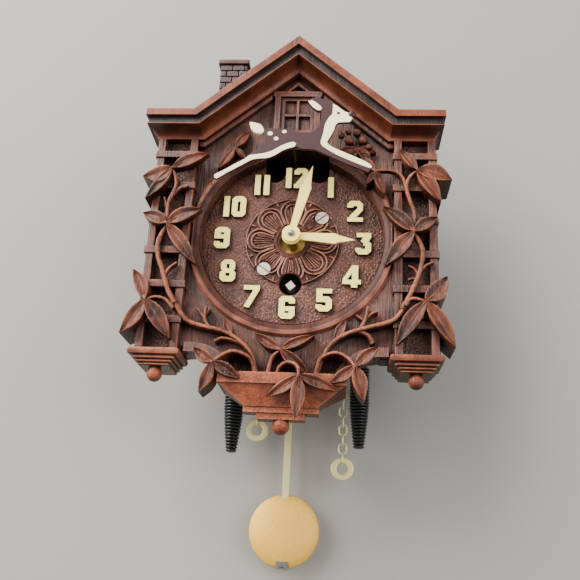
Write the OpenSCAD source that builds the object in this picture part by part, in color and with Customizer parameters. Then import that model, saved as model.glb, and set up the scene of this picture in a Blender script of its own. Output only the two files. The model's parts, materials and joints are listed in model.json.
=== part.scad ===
// Cuckoo-style wall clock with a spring movement, a swinging pendulum and a rocking deer.
// Measures are taken from the dial centre: x right, y into the wall, z up, numeral faces at y = 0.
// Each piece is then seated so that the keyhole in the back plate is the origin.

/* [Case] */
// Distance from the numeral faces to the wall
wall_y = 38; // [37:0.5:42]
// Height of the keyhole above the dial centre
hanger_z = 36.5; // [36:0.5:37.5]
// Half width of the front panel
panel_half = 56.5; // [56:0.25:60]
// Height of the panel's foot line below the dial centre
panel_foot = 48.9; // [48.5:0.1:50]
// Thickness of the front panel
panel_t = 8; // [7.4:0.2:8]
// Level of the carved ground in front of the numeral faces
ground = 4; // [3.5:0.1:4.2]
// Half width of the box behind the panel
box_half = 36; // [35:0.5:38]
// Wall thickness of the box
box_wall = 2.5; // [2:0.1:3]
// Lower face of the box below the dial centre
box_low = 37; // [37:0.25:39]
// Upper face of the box above the dial centre
box_high = 46; // [45.5:0.25:48]
// Thickness of the back board
back_t = 1.4; // [1:0.1:2]
// Radius of the keyhole's round entry
keyhole_r = 3; // [2.6:0.1:3.2]
// Width of the keyhole's slot
keyhole_slot = 3; // [2:0.2:3.4]
// Thickness of the hanger plate
hanger_t = 1; // [0.8:0.1:1.2]

/* [Roof] */
// Half width of the roof
roof_half = 60.3; // [59:0.25:62]
// Height of the eaves' top above the dial centre
eaves_z = 50.4; // [49:0.1:52]
// Half width between the two bends of the roof line
bend_half = 41; // [39:0.5:43]
// Height of the ridge above the dial centre
ridge_z = 86.2; // [82:0.2:88]
// Thickness of the roof moulding, square to its run
roof_t = 9.6; // [9.4:0.1:10.5]
// Reach of the roof's edge band in front of the numeral faces
roof_front = 16; // [15.5:0.1:18]
// Width of the chimney
chimney_w = 11.6; // [9:0.2:13]

/* [Dial] */
// Radius of the circle on which the numerals stand
numeral_ring = 28; // [27:0.25:29]
// Height of a numeral
numeral_h = 9.2; // [8:0.1:9.6]
// Width of a numeral
numeral_w = 6.2; // [5.6:0.1:6.6]
// Stroke of a numeral
numeral_stroke = 2.3; // [1.8:0.1:2.5]
// Thickness of a numeral
numeral_t = 1.6; // [1.2:0.1:2]
// Radius of the sunk dial
dial_r = 36; // [35:0.25:36.5]
// Outer radius of the raised ring round the dial
ring_r = 41.2; // [40:0.1:42]
// Radius of the rosette
rosette_r = 18.6; // [18.4:0.1:20.5]
// Radius of the hole at the middle of the dial
centre_hole_r = 5.2; // [4.5:0.1:5.6]
// Radius of the winding hole
wind_hole_r = 4.5; // [4:0.1:5]
// Radius of a slotted dial screw's head
screw_head_r = 2.65; // [2.2:0.05:2.8]

/* [Hands] */
// Length of the minute hand
minute_len = 31; // [26:0.5:32]
// Length of the hour hand
hour_len = 25; // [20:0.2:25]
// Thickness of a hand
hand_t = 0.8; // [0.6:0.05:0.9]
// Rest angle of the minute hand, clockwise from twelve
minute_angle = 14; // [0:0.1:359]
// Rest angle of the hour hand, clockwise from twelve
hour_angle = 93.5; // [0:0.5:359]

/* [Movement] */
// Distance from the centre arbor down to the winding arbor
wind_drop = 18; // [18:0.05:18.2]
// Thickness of a movement plate
plate_t = 1.2; // [1:0.1:1.4]
// Clear space between the movement plates
plate_gap = 15.8; // [15.8:0.1:16.4]
// Half width of a movement plate
plate_half = 20; // [19.5:0.25:24]
// Half height of a movement plate
plate_high = 34; // [33.5:0.1:34.2]
// Radial clearance of a running pivot
run_gap = 0.05; // [0.02:0.01:0.08]
// Turns of the mainspring
spring_turns = 8; // [5:1:8]
// Thickness of the mainspring strip
strip_t = 0.4; // [0.3:0.05:0.5]
// Width of the mainspring strip
strip_w = 6; // [4:0.25:6.5]

/* [Pendulum] */
// Height of the pendulum's pivot above the dial centre
pivot_z = 29.7; // [29.5:0.1:30.2]
// Distance from the pivot to the middle of the bob
pendulum_len = 137.7; // [130:0.1:145]
// Radius of the bob
bob_r = 13.6; // [12:0.1:15]
// Thickness of the bob at its middle
bob_t = 5.4; // [5:0.1:6]
// Width of the flat pendulum rod
rod_w = 2.6; // [2:0.1:3]
// Thickness of the flat pendulum rod
rod_t = 0.6; // [0.4:0.05:0.8]

/* [Hanging pieces] */
// Length of a dummy weight
weight_len = 32.5; // [28:0.5:36]
// Radius of a dummy weight at its widest rib
weight_r = 4.1; // [3.6:0.05:4.3]
// Ribs on a dummy weight
weight_ribs = 26; // [16:1:28]
// Wire of the chains
wire = 0.8; // [0.6:0.05:0.9]
// Radius to the middle of the wire in a chain link's loop
loop_r = 1.55; // [1.5:0.01:1.6]
// Straight length between the bends of a loop
loop_len = 1; // [0.8:0.1:1.2]
// Radius to the middle of a pull ring's section
pull_r = 3.3; // [3.1:0.05:3.6]
// Half width of a pull ring's section
pull_w = 1.2; // [1:0.05:1.25]
// Thickness of a pull ring
pull_t = 1.6; // [1.2:0.1:1.8]

/* [Hidden] */
$fn = 48;

// Depths, counted into the wall from the numeral faces
panel_back = panel_t - ground;
floor_y = numeral_t;
plates_y = panel_back + 6;
inner_y = plates_y + plate_t;
back_plate_y = inner_y + plate_gap;
rod_y = back_plate_y + plate_t + 2.8;
cover_y = wall_y - hanger_t;
hang_y = 27;
trellis_front = 8.8;
relief_front = 12.6;
shelf_front = 17;
deer_front = 14.6;
deer_t = 1.2;
bite = 0.02;

// Roof line
pitch = atan((ridge_z - eaves_z) / bend_half);
roof_corner = [[-roof_half, eaves_z], [-bend_half, eaves_z], [0, ridge_z], [bend_half, eaves_z],
    [roof_half, eaves_z]];
// Shift of each corner for a line that lies n below the roof's top
function roof_pt(i, n) = roof_corner[i] + n * [
    i == 1 ? tan(pitch / 2) : i == 3 ? -tan(pitch / 2) : 0,
    i == 2 ? -1 / cos(pitch) : -1];
// Height of the roof's top line at x
function roof_top(x) = abs(x) > bend_half ? eaves_z : ridge_z - abs(x) * tan(pitch);

// Arched lower edge beside the bracket
arch_x = 34.5;
arch_z = -panel_foot - 13.6;
arch_r = 14;
arch_band = 3.5;
shelf_z = -57.8;

// Opening for the deer's arm
slot_x = 0.7;
slot_r = 4.2;
slot_reach = 9;
slot_z = 30.7;
slot_tab = numeral_ring + numeral_h / 2 + 0.6;
slot_top = 38;

// Gear train: module, wheel teeth, pinion leaves
great_m = 2 * wind_drop / 60;
great_n = 48;
centre_leaves = 12;
centre_m = 0.45;
centre_n = 48;
third_leaves = 8;
third_m = 0.42;
third_n = 48;
fourth_leaves = 8;
fourth_m = 0.4;
fourth_n = 36;
escape_leaves = 8;
escape_n = 30;
escape_r = 6.3;
motion_m = 0.4;
cannon_n = 10;
minute_n = 30;
minute_leaves = 8;
hour_n = 32;
third_at = centre_m * (centre_n + third_leaves) / 2 * [cos(60), sin(60)];
fourth_at = third_at + third_m * (third_n + fourth_leaves) / 2 * [cos(165), sin(165)];
escape_reach = fourth_m * (fourth_n + escape_leaves) / 2;
escape_at = [0, fourth_at[1] + sqrt(escape_reach * escape_reach - fourth_at[0] * fourth_at[0])];
minute_at = motion_m * (cannon_n + minute_n) / 2 * [cos(210), sin(210)];
wind_at = [0, -wind_drop];
pivot_at = [0, pivot_z];

// Radii of arbors and pipes
arbor_r = 0.8;
pivot_r = 0.5;
wind_r = 1.6;
square_w = 2.8;
cannon_r = 1.3;
hour_pipe_r = 1.9;
verge_r = 0.6;

// Levels of the wheels, at the front face of each
great_y = inner_y + 6.2;
centre_y = inner_y + 3.4;
third_y = inner_y + 10.8;
fourth_y = inner_y + 1.2;
escape_y = inner_y + 3;
wheel_t = 0.8;
great_t = 1.2;
ratchet_y = great_y - 1.1;
ratchet_n = 16;
ratchet_r = 4.6;
spring_y = great_y + 2;
cannon_y = plates_y - 2.6;
minute_y = plates_y - 2.2;
hour_y = plates_y - 4.4;
hour_hand_y = -4.2;
minute_hand_y = -6.2;

// Mainspring spiral about the winding arbor
core_r = 2;
spring_in = core_r + 0.1 + strip_t / 2;
spring_out = 12.4;
spring_pitch = (spring_out - spring_in) / spring_turns;
spring_end = -92;
pillar_r = 1.6;
pillar_at = [plate_half - 3, plate_high - 3];
echo(mainspring_least_gap = spring_pitch - strip_t);

// Hanging pieces
eye_r = 1.5;
eye_wire = 1;
weight_x = [-22, 28];
weight_top = [-47.1, -43.9];
chain_x = [-12.2, 21.8];
eye_drop = [8.2, 7.3];
chain_links = [3, 5];
link_play = 0.1;
link_in = 4 * loop_r + 2 * loop_len - wire;
link_pitch = link_in - link_play;
weight_loop = 1.3;
weight_eye = 0.2 + 2 * weight_loop - wire / 2 - link_play + eye_r;
eye_z = [for (d = eye_drop) -box_low - d];

// Seats a piece in the clock's own frame
module seat() translate([0, -wall_y, -hanger_z]) children();
// Stands a flat outline up with its back face at depth y, t thick towards the viewer
module slab(y, t) translate([0, y, 0]) rotate([90, 0, 0]) linear_extrude(t) children();
// Turns a solid drawn along z so that it runs towards the viewer from depth y
module facing(y) translate([0, y, 0]) rotate([90, 0, 0]) children();
module at(p) translate([p[0], p[1], 0]) children();
module bar(x0, x1, z0, z1) translate([x0, z0]) square([x1 - x0, z1 - z0]);

// Points on a smooth curve through a list of points
function bend_pt(p, i, t) = let (
    a = p[max(i - 1, 0)], b = p[i], c = p[i + 1], d = p[min(i + 2, len(p) - 1)])
    0.5 * (2 * b + (c - a) * t + (2 * a - 5 * b + 4 * c - d) * t * t
        + (3 * b - a - 3 * c + d) * t * t * t);
function smooth(p, n = 3) = concat([for (i = [0:len(p) - 2], k = [0:n - 1]) bend_pt(p, i, k / n)],
    [p[len(p) - 1]]);
function side(p, i) = let (
    d = p[min(i + 1, len(p) - 1)] - p[max(i - 1, 0)]) [-d[1], d[0]] / norm(d);
// A stem: a band along a curve, w0 wide at its root and w1 wide at its tip
module stem(path, w0, w1) {
    p = smooth(path);
    n = len(p) - 1;
    polygon(concat([for (i = [0:n]) p[i] - side(p, i) * (w0 + (w1 - w0) * i / n) / 2],
        [for (i = [n:-1:0]) p[i] + side(p, i) * (w0 + (w1 - w0) * i / n) / 2]));
}

// A pointed leaf from its root to its tip
leaf_steps = 9;
function leaf_bulge(t) = pow(sin(180 * pow(t, 0.85)), 0.85);
module leaf(root, tip, w) {
    d = tip - root;
    translate(root) rotate(atan2(d[1], d[0])) polygon(concat(
        [for (i = [0:leaf_steps]) [norm(d) * i / leaf_steps, -w / 2 * leaf_bulge(i / leaf_steps)]],
        [for (i = [leaf_steps - 1:-1:1])
            [norm(d) * i / leaf_steps, w / 2 * leaf_bulge(i / leaf_steps)]]));
}
// A spray of leaves round one root: each entry is a tip and a width
module spray(root, leaves, y, t) {
    rib_w = 0.7;
    rib_t = 0.5;
    slab(-y, t) {
        for (l = leaves) leaf(root, [l[0], l[1]], l[2]);
        translate(root) circle(1.1);
    }
    slab(-y - t + bite, rib_t) for (l = leaves)
        stem([root, root + 0.82 * ([l[0], l[1]] - root)], rib_w, rib_w / 2);
}

// A wheel's or a pinion's outline, with one tooth centred on the angle given
module gear(n, m, turn = 0, tip = 0.85, root = 1.2, thick = 0.4) {
    flank = [[-1.5, -root], [-1, 0], [-0.45, tip], [0.45, tip], [1, 0], [1.5, -root]];
    half = 180 / n * thick;
    polygon([for (i = [0:n - 1], q = flank) let (a = turn + 360 / n * i + q[0] * half)
        (n / 2 + q[1]) * m * [cos(a), sin(a)]]);
}
// Crossed-out wheel: rim, four spokes and a hub with its hole
module wheel(n, m, hole, turn = 0, spokes = 4) {
    r = n * m / 2;
    rim = r - m * 1.25 - 1.2;
    difference() {
        gear(n, m, turn);
        difference() {
            circle(rim);
            circle(hole + 1.3);
            for (i = [0:spokes - 1]) rotate(360 / spokes * i + 20) bar(0, rim, -0.6, 0.6);
        }
        circle(hole);
    }
}
// An arbor between the plates with a pivot at each end
module arbor(p, r) at(p) {
    facing(inner_y + plate_gap - 0.1) cylinder(r = r, h = plate_gap - 0.2);
    facing(back_plate_y + plate_t) cylinder(r = pivot_r, h = plate_gap + 2 * plate_t);
}
module at_dial(p) translate([p[0], 0, p[1]]) children();

// Outline of the front panel under the roof moulding
module panel_outline() {
    difference() {
        polygon(concat([for (i = [0:4]) let (q = roof_pt(i, roof_t))
            [max(-panel_half, min(panel_half, q[0])), q[1]]],
            [[panel_half, -panel_foot], [arch_x, -panel_foot], [arch_x, arch_z + arch_r],
            [arch_x, shelf_z], [-arch_x, shelf_z], [-arch_x, -panel_foot],
            [-panel_half, -panel_foot]]));
        for (s = [-1, 1]) translate([s * arch_x, arch_z]) circle(arch_r);
    }
}
// Raised band along each arched edge
module arch_bands() for (s = [-1, 1]) {
    intersection() {
        translate([s * arch_x, arch_z]) difference() {
            circle(arch_r + arch_band);
            circle(arch_r);
        }
        bar(s > 0 ? 17.4 : -arch_x, s > 0 ? arch_x : -17.4, shelf_z, 0);
    }
    bar(s > 0 ? arch_x : -arch_x - 3, s > 0 ? arch_x + 3 : -arch_x,
        arch_z + arch_r, arch_z + arch_r + arch_band);
}
module slot_outline() {
    for (s = [-1, 1]) {
        translate([slot_x + s * slot_reach, slot_z]) circle(slot_r);
        bar(slot_x + s * slot_reach - slot_r, slot_x + s * slot_reach + slot_r, slot_z, slot_top);
    }
    bar(slot_x - slot_reach, slot_x + slot_reach, slot_tab, slot_top);
}
screw_at = [[11.5, 10.4], [-10.6, -12]];
screw_r = 1.1;
screw_fit = 0.05;
panel_screw_at = [for (sx = [-1, 1], sz = [-box_low + 5, box_high - 10]) [sx * (box_half + 2.2), sz]];
panel_screw_r = 1;

module front_panel() seat() color("saddlebrown") difference() {
    union() {
        slab(panel_back, panel_t) panel_outline();
        slab(-ground + bite, arch_band + bite) arch_bands();
    }
    // Sunk dial, with a tab left below the opening for the twelve
    facing(floor_y) cylinder(r = dial_r, h = 20);
    slab(panel_back + 1, 30) slot_outline();
    facing(panel_back + 1) cylinder(r = centre_hole_r, h = 20);
    at_dial(wind_at) facing(panel_back + 1) cylinder(r = wind_hole_r, h = 20);
    for (p = screw_at) at_dial(p) facing(panel_back + 1) cylinder(r = screw_r + screw_fit, h = 20);
    // Pilot holes for the screws that hold the box
    for (p = panel_screw_at) at_dial(p) facing(panel_back + 1)
        cylinder(r = panel_screw_r + screw_fit, h = 4.5);
}

// Box of thin boards behind the panel, with ears for the panel screws
ear_t = 3;
slot_half = 9.5;
post_w = 5;
post_screw_r = 0.8;
cover_screw_at = [for (sx = [-1, 1], sz = [-1, 1]) [sx * (box_half - box_wall - post_w / 2),
    sz > 0 ? box_high - box_wall - post_w / 2 : -box_low + box_wall + post_w / 2]];
module case_box() seat() color("sienna") difference() {
    union() {
        slab(wall_y, wall_y - panel_back) bar(-box_half, box_half, -box_low, box_high);
        for (p = panel_screw_at) slab(panel_back + ear_t, ear_t)
            bar(p[0] - 3, p[0] + 3, p[1] - 4, p[1] + 4);
    }
    difference() {
        slab(wall_y + 1, wall_y + 2) bar(-box_half + box_wall, box_half - box_wall,
            -box_low + box_wall, box_high - box_wall);
        for (p = cover_screw_at) slab(cover_y - back_t, cover_y - back_t - panel_back)
            translate(p) square(post_w + 2 * bite, center = true);
    }
    for (p = cover_screw_at) at_dial(p) facing(cover_y)
        cylinder(r = post_screw_r + screw_fit, h = back_t + 8.2);
    for (p = panel_screw_at) at_dial(p) facing(panel_back + ear_t + 1)
        cylinder(r = panel_screw_r + screw_fit, h = ear_t + 2);
    // Way out for the swinging rod
    translate([-slot_half, back_plate_y + 1.4, -box_low - 1])
        cube([2 * slot_half, 7, box_wall + 2]);
    // Holes for the four eyes that carry chains and weights
    for (x = concat(weight_x, chain_x)) translate([x, hang_y, -box_low - 1])
        cylinder(r = eye_wire / 2 + screw_fit, h = box_wall - 0.4 + 1);
}

cover_fit = 0.2;
module back_cover() seat() color("tan") difference() {
    slab(cover_y, back_t) bar(-box_half + box_wall + cover_fit, box_half - box_wall - cover_fit,
        -box_low + box_wall + cover_fit, box_high - box_wall - cover_fit);
    slab(cover_y + 1, 5) bar(-slot_half, slot_half, -box_low, -box_low + 8);
    at_dial([0, hanger_z]) facing(cover_y + 1) cylinder(r = keyhole_r + 0.8, h = 5);
    slab(cover_y + 1, 5) bar(-keyhole_slot / 2 - 0.8, keyhole_slot / 2 + 0.8,
        hanger_z, hanger_z + 5.2);
    for (p = cover_screw_at) at_dial(p) facing(cover_y + 1)
        cylinder(r = post_screw_r + screw_fit, h = 5);
}

// Sheet plate with the keyhole, riveted flush with the wall plane
module hanger_plate() seat() color("silver") difference() {
    slab(wall_y, hanger_t) bar(-9, 9, hanger_z - 6.5, hanger_z + 6.5);
    at_dial([0, hanger_z]) facing(wall_y + 1) cylinder(r = keyhole_r, h = 5);
    slab(wall_y + 1, 5) bar(-keyhole_slot / 2, keyhole_slot / 2, hanger_z, hanger_z + 4.4);
}

// Screws that hold the back board to the box's corner posts
module cover_screws() seat() color("gold") for (p = cover_screw_at) at_dial(p) {
    facing(cover_y) cylinder(r = post_screw_r, h = back_t + 8);
    facing(wall_y - 0.2) cylinder(r = 1.5, h = hanger_t - 0.2);
}
module panel_screws() seat() color("gold") for (p = panel_screw_at) at_dial(p) {
    facing(panel_back + ear_t) cylinder(r = panel_screw_r, h = ear_t + 3.2);
    facing(panel_back + ear_t + 0.8) cylinder(r = 1.9, h = 0.8);
}

// Roof moulding: bands of the roof line, one behind the other, that step back from lip through
// groove and bead to a cove; each entry is a reach and the band it spans below the roof's top
cove_steps = 8;
lip_w = 3.1;
bead_w = 6.3;
roof_steps = concat([[roof_front, 0, lip_w], [roof_front - 1.2, lip_w + 1.1, bead_w],
    [roof_front - 1.6, 0, bead_w]],
    [for (i = [1:cove_steps])
        [roof_front - 1.8 - 6.2 * sin(90 * (i - 0.5) / cove_steps), 0,
            bead_w + (roof_t - bead_w) * (1 - cos(90 * i / cove_steps))]]);
module roof_band(n0, n1) polygon(concat(
    [for (i = [0:4]) roof_pt(i, n1)], [for (i = [4:-1:0]) roof_pt(i, n0)]));
trim_w = 2.5;
trim_t = 2.4;
trim_in = 10.8;
trim_out = 39.4;
peg_r = 1.8;
peg_x = 48.4;
module roof_moulding() seat() color("chocolate") {
    for (q = roof_steps) slab(panel_back, q[0] + panel_back) roof_band(q[1], q[2]);
    for (s = [-1, 1]) translate([s * peg_x, -9.4, eaves_z - bite]) cylinder(r = peg_r, h = 0.9);
    slab(-ground, trim_t) intersection() {
        roof_band(roof_t - bite, roof_t + trim_w);
        for (s = [-1, 1]) translate([s > 0 ? trim_in : -trim_out, 0])
            square([trim_out - trim_in, ridge_z]);
    }
}

// Brick chimney standing on the left slope
chimney_x = -27.6;
chimney_top = 79.2;
chimney_cap = 3.4;
module chimney() seat() color("dimgray") {
    half = chimney_w / 2;
    slab(0, 9) polygon([[chimney_x - half, roof_top(chimney_x - half)],
        [chimney_x + half, roof_top(chimney_x + half)],
        [chimney_x + half, chimney_top - chimney_cap], [chimney_x - half, chimney_top - chimney_cap]]);
    slab(0.7, 10.4) bar(chimney_x - half - 0.8, chimney_x + half + 0.8,
        chimney_top - chimney_cap, chimney_top);
}

// Sash window with its pediment on the gable wall
window_half = 9.4;
window_foot = 46;
window_head = 63;
sash_sill = 1.2;
sash_bar = 1;
pane_w = 4.9;
pane_h = (window_head - window_foot - 2 * sash_sill - sash_bar - 0.4) / 2;
module gable_window() seat() color("sienna") intersection() {
    slab(20, 60) polygon([[0, 0], roof_pt(3, roof_t), roof_pt(2, roof_t), roof_pt(1, roof_t)]);
    window_parts();
}
module window_parts() {
    slab(-ground, 1.4) difference() {
        bar(-window_half, window_half, window_foot, window_head);
        for (sx = [0, 1], sz = [0, 1]) translate([-5.3 + sx * (pane_w + sash_bar),
            window_foot + sash_sill + sz * (pane_h + sash_bar)]) square([pane_w, pane_h]);
    }
    slab(-ground - 1.4 + bite, 1.2) {
        bar(-window_half, -window_half + 2.3, window_foot, window_head);
        bar(window_half - 2.3, window_half, window_foot, window_head);
        bar(-window_half - 0.8, window_half + 0.8, window_head - 0.2, window_head + 2.2);
    }
    slab(-ground, 2.6) difference() {
        polygon([[-6.6, window_head], [6.6, window_head], [0.6, window_head + 6.4],
            [-0.6, window_head + 6.4]]);
        polygon([[-3.6, window_head + 2.3], [3.6, window_head + 2.3], [0, window_head + 5]]);
    }
}

// Berries on a leafy sprig beside the deer
berry_at = [[21.6, 41.2], [27.2, 41.4], [24.6, 44.6], [20.8, 45], [17.4, 42.8]];
berry_r = 1.9;
module berry_sprig() seat() color("brown") {
    low_part() spray([25.2, 37.6], [[17.4, 37.2, 3], [32.4, 36.6, 3.4], [30.6, 32, 3.4], [20.4, 33.8, 3]],
        ground, 3.2);
    for (p = berry_at) at_dial(p) facing(-ground) {
        cylinder(r = 0.7, h = 3);
        translate([0, 0, 3.4]) sphere(berry_r);
    }
    slab(-ground, 1.2) for (p = berry_at) stem([[25.2, 37.6], p], 0.9, 0.8);
}

// Trellis of battens and bars on both sides of the dial
batten_in = 39.6;
batten_w = 3;
batten_edge = 0.7;
batten_out = panel_half - batten_edge - batten_w;
rung_proud = 0.6;
rung_top = 35;
rung_pitch = 14;
rung_h = 3;
module trellis() seat() color("sienna") for (s = [-1, 1]) {
    slab(-ground, trellis_front - ground - rung_proud) for (x = [batten_in, batten_out])
        bar(s > 0 ? x : -x - batten_w, s > 0 ? x + batten_w : -x, -panel_foot,
            eaves_z - roof_t);
    for (i = [0:5]) slab(-ground, trellis_front - ground)
        bar(s > 0 ? batten_in - 0.6 : -panel_half, s > 0 ? panel_half : -batten_in + 0.6,
            rung_top - rung_pitch * i - rung_h, rung_top - rung_pitch * i);
}

// Corbel feet under the two trellises
foot_half = 9.6;
foot_x = panel_half + 0.3 - foot_half;
foot_front = 13.9;
module feet() seat() color("chocolate") for (s = [-1, 1]) translate([s * foot_x, 0, -panel_foot]) {
    step = [[foot_half, 0, 2.6], [7.5, 2.6, 4.8], [6.2, 4.8, 6.2]];
    for (q = step) translate([-q[0], -foot_front + (foot_half - q[0]) * 0.8, -q[2]])
        cube([2 * q[0], foot_front + panel_back - (foot_half - q[0]), q[2] - q[1]]);
    translate([0, -7.2, -7.4]) cylinder(r1 = 2.4, r2 = 4.2, h = 1.2 + bite);
    translate([0, -7.2, -8.7]) sphere(2.8);
}

// Bracket shelf below the middle of the panel
module bracket() seat() color("chocolate") {
    top_z = shelf_z - 4;
    foot_z = top_z - 7.4;
    translate([-22.6, -shelf_front, top_z]) cube([45.2, shelf_front + panel_back, shelf_z - top_z]);
    intersection() {
        slab(20, 60) polygon([[-22, top_z], [22, top_z], [12.8, foot_z], [-12.8, foot_z]]);
        rotate([90, 0, 90]) translate([0, 0, -30]) linear_extrude(60)
            polygon([[-16.2, top_z], [panel_back, top_z], [-7, foot_z], [-13.5, foot_z]]);
    }
    translate([-13.2, -13, foot_z - 2]) cube([26.4, 6, 2]);
    translate([-8.4, -12.4, foot_z - 4.2]) cube([16.8, 5.4, 2.2]);
    translate([0, -9.6, foot_z - 6]) sphere(3.1);
}

// Vines: stems that climb the trellis, each spray of leaves at a root on a stem
left_main = [[-47.8, 1], [-50.6, -5.6], [-50.2, -11.7], [-48, -17.2], [-45.2, -25], [-42.4, -30]];
left_low = [[-42.6, -29.6], [-39.4, -34.4], [-35.8, -37.8], [-30.2, -39.4], [-23.6, -40.8],
    [-19.1, -42.8], [-14.7, -46.1], [-11.3, -50.6], [-9.9, shelf_z]];
left_high = [[-48.2, 25.1], [-46.4, 21], [-46.2, 17], [-48.4, 10], [-47.8, 1]];
right_main = [[46.7, -0.8], [49.8, -7.2], [49.2, -14.4], [47, -21.1], [43.4, -29.6]];
right_low = [[43.6, -29.2], [40.4, -34.2], [36.4, -36.4], [28.7, -38.5], [20.9, -41.4],
    [15.3, -46.8], [11.4, shelf_z]];
right_high = [[48.1, 25.4], [45.2, 22.6], [44, 18.4], [45.4, 12.6], [47, 7], [46.7, -0.8]];
stem_w = 1.9;
stem_back = trellis_front;
stem_t = 2.6;
low_t = 5.4;
// Spray on the trellis; what reaches past the panel's side is as deep as the panel
module trellis_spray(root, leaves) {
    spray(root, leaves, stem_back, relief_front - stem_back);
    slab(panel_back, panel_back + stem_back + bite) difference() {
        for (l = leaves) leaf(root, [l[0], l[1]], l[2]);
        bar(-panel_half, panel_half, -60, 60);
    }
}
// Spray in front of an end of the bracket; its last leaf hangs beside the band and is deeper
free_back = 9;
shelf_leaf_t = 1.6;
module shelf_spray(root, leaves) {
    free = leaves[len(leaves) - 1];
    spray(root, leaves, shelf_front + bite, shelf_leaf_t);
    slab(-free_back, shelf_front - free_back + 2 * bite) leaf(root, [free[0], free[1]], free[2]);
}
// What lies on the ground stops at the dial's ring, the arched bands and the shelf
module low_part() difference() {
    children();
    facing(0) cylinder(r = ring_r, h = 30);
    slab(-ground + 1, arch_band + 1) arch_bands();
    translate([-30, -shelf_front, shelf_z - 20]) cube([60, 30, 20]);
}
module vine_left() seat() color("peru") {
    trellis_spray([-48.2, 25.1], [[-59.6, 21.4, 6.4], [-57.6, 11.7, 4], [-34.1, 32.3, 4.6]]);
    trellis_spray([-47.8, 1], [[-57.6, 5.4, 4.7], [-34.8, 7.6, 5.2], [-35.3, -15.5, 5]]);
    trellis_spray([-52.7, -30.2], [[-58.6, -18.3, 4.7], [-61.1, -43.6, 5.2], [-42.1, -45, 5.8]]);
    slab(-stem_back, stem_t) {
        stem(left_main, stem_w, stem_w);
        stem(left_high, 1.2, 1.6);
        stem([[-52.7, -30.2], [-49, -29], [-45.4, -29.8], [-42, -33]], 1.2, 1.6);
        stem([[-47.6, 13], [-45, 16.6], [-41.2, 18.2]], 1.4, 1.6);
        stem([[-46.9, -20], [-45.2, -17], [-42.6, -14.8]], 1.4, 0.8);
    }
    low_part() slab(-ground, low_t) intersection() {
        union() {
            stem(left_low, stem_w, 1.3);
            stem([[-28.4, -39.6], [-30.4, -36], [-30.2, -31.4]], 1.2, 0.8);
            stem([[-29.8, -36.6], [-32.4, -33.4], [-33.8, -32]], 0.9, 0.6);
            stem([[-15.4, -45.6], [-19.6, -43.8], [-23.6, -43.4], [-26, -44.8]], 1.4, 0.9);
            leaf([-19.9, -42], [-22.8, -35.8], 2.8);
        }
        bar(-batten_in + 0.7, 0, -60, 0);
    }
    low_part() slab(-trellis_front, 1.6) intersection() {
        stem(left_low, stem_w, 1.3);
        bar(-45, -38, -40, 0);
    }
    // Spray over the end of the bracket and the stem that carries it
    low_part() slab(-ground, low_t) stem([[-22, -52.2], [-18.2, -49.8], [-14.2, -50.4],
        [-11.5, -52.4], [-10.1, shelf_z]], 1.2, 1.3);
    low_part() slab(-ground, shelf_front + shelf_leaf_t - ground)
        stem([[-24.4, -55.2], [-21.4, -51.8]], 1.4, 1.2);
    shelf_spray([-24.4, -55.2], [[-31.5, -50, 4], [-14.6, -60.6, 4], [-28.3, -65.9, 4]]);
    // Spray in the dark corner below the roof
    low_part() spray([-24.2, 37.4], [[-31, 27.6, 3], [-18.8, 45.4, 3.4], [-19.6, 31.6, 2.2]], ground, 4.2);
}
module vine_right() seat() color("peru") {
    trellis_spray([48.1, 25.4], [[41.4, 34.5, 3.6], [61.4, 21.4, 6.4], [57, 12, 5.2]]);
    trellis_spray([46.7, -0.8], [[35.1, 9.5, 5.2], [55.6, 5.4, 4.3], [36, -14.6, 5.2]]);
    trellis_spray([50.6, -28.5], [[58.6, -18.6, 6.4], [60.9, -45.5, 5.2], [40.1, -45, 5.4]]);
    slab(-stem_back, stem_t) {
        stem(right_main, stem_w, stem_w);
        stem(right_high, 1.2, 1.6);
        stem([[50.6, -28.5], [46.6, -27.2], [43.4, -28.6], [42.2, -31]], 1.2, 1.6);
        stem([[32.1, 25.6], [38, 25.8], [42.2, 23.6], [44.2, 18]], 1.2, 1.4);
        stem([[48.6, -17], [50.6, -14.2], [53.6, -12.6]], 1.2, 0.8);
        stem([[48.2, -18], [46.8, -15.4], [44.6, -14.2]], 1.2, 0.8);
    }
    spray([32.1, 25.6], [[26.4, 32.6, 3.4], [35.6, 16.1, 3.8], [28.7, 20.1, 2.2]],
        stem_back, stem_t);
    low_part() slab(-ground, low_t) intersection() {
        union() {
            stem(right_low, stem_w, 1.3);
            stem([[27, -38.8], [29, -34.6], [30, -29.8]], 1.5, 1);
            stem([[28.6, -35.2], [31, -32.6], [33.4, -31.4]], 1.2, 0.8);
            stem([[24.6, -39.6], [27.6, -39.7], [30.4, -41.2], [31.8, -44]], 1.4, 1.6);
            leaf([18.4, -42.8], [22, -35.2], 3.2);
        }
        bar(0, batten_in - 0.7, -60, 0);
    }
    low_part() slab(-trellis_front, 1.6) intersection() {
        stem(right_low, stem_w, 1.3);
        bar(38, 45, -40, 0);
    }
    low_part() slab(-ground, low_t) stem([[23.2, -52], [19.2, -49.4], [15.2, -49.8],
        [12.6, -51.8], [11.5, shelf_z]], 1.2, 1.3);
    low_part() slab(-ground, shelf_front + shelf_leaf_t - ground)
        stem([[25.4, -55.2], [22.8, -51.6]], 1.4, 1.2);
    shelf_spray([25.4, -55.2], [[33.5, -47.8, 3.8], [17, -61.2, 3.8], [28.5, -66.8, 4.6]]);
}
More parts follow.
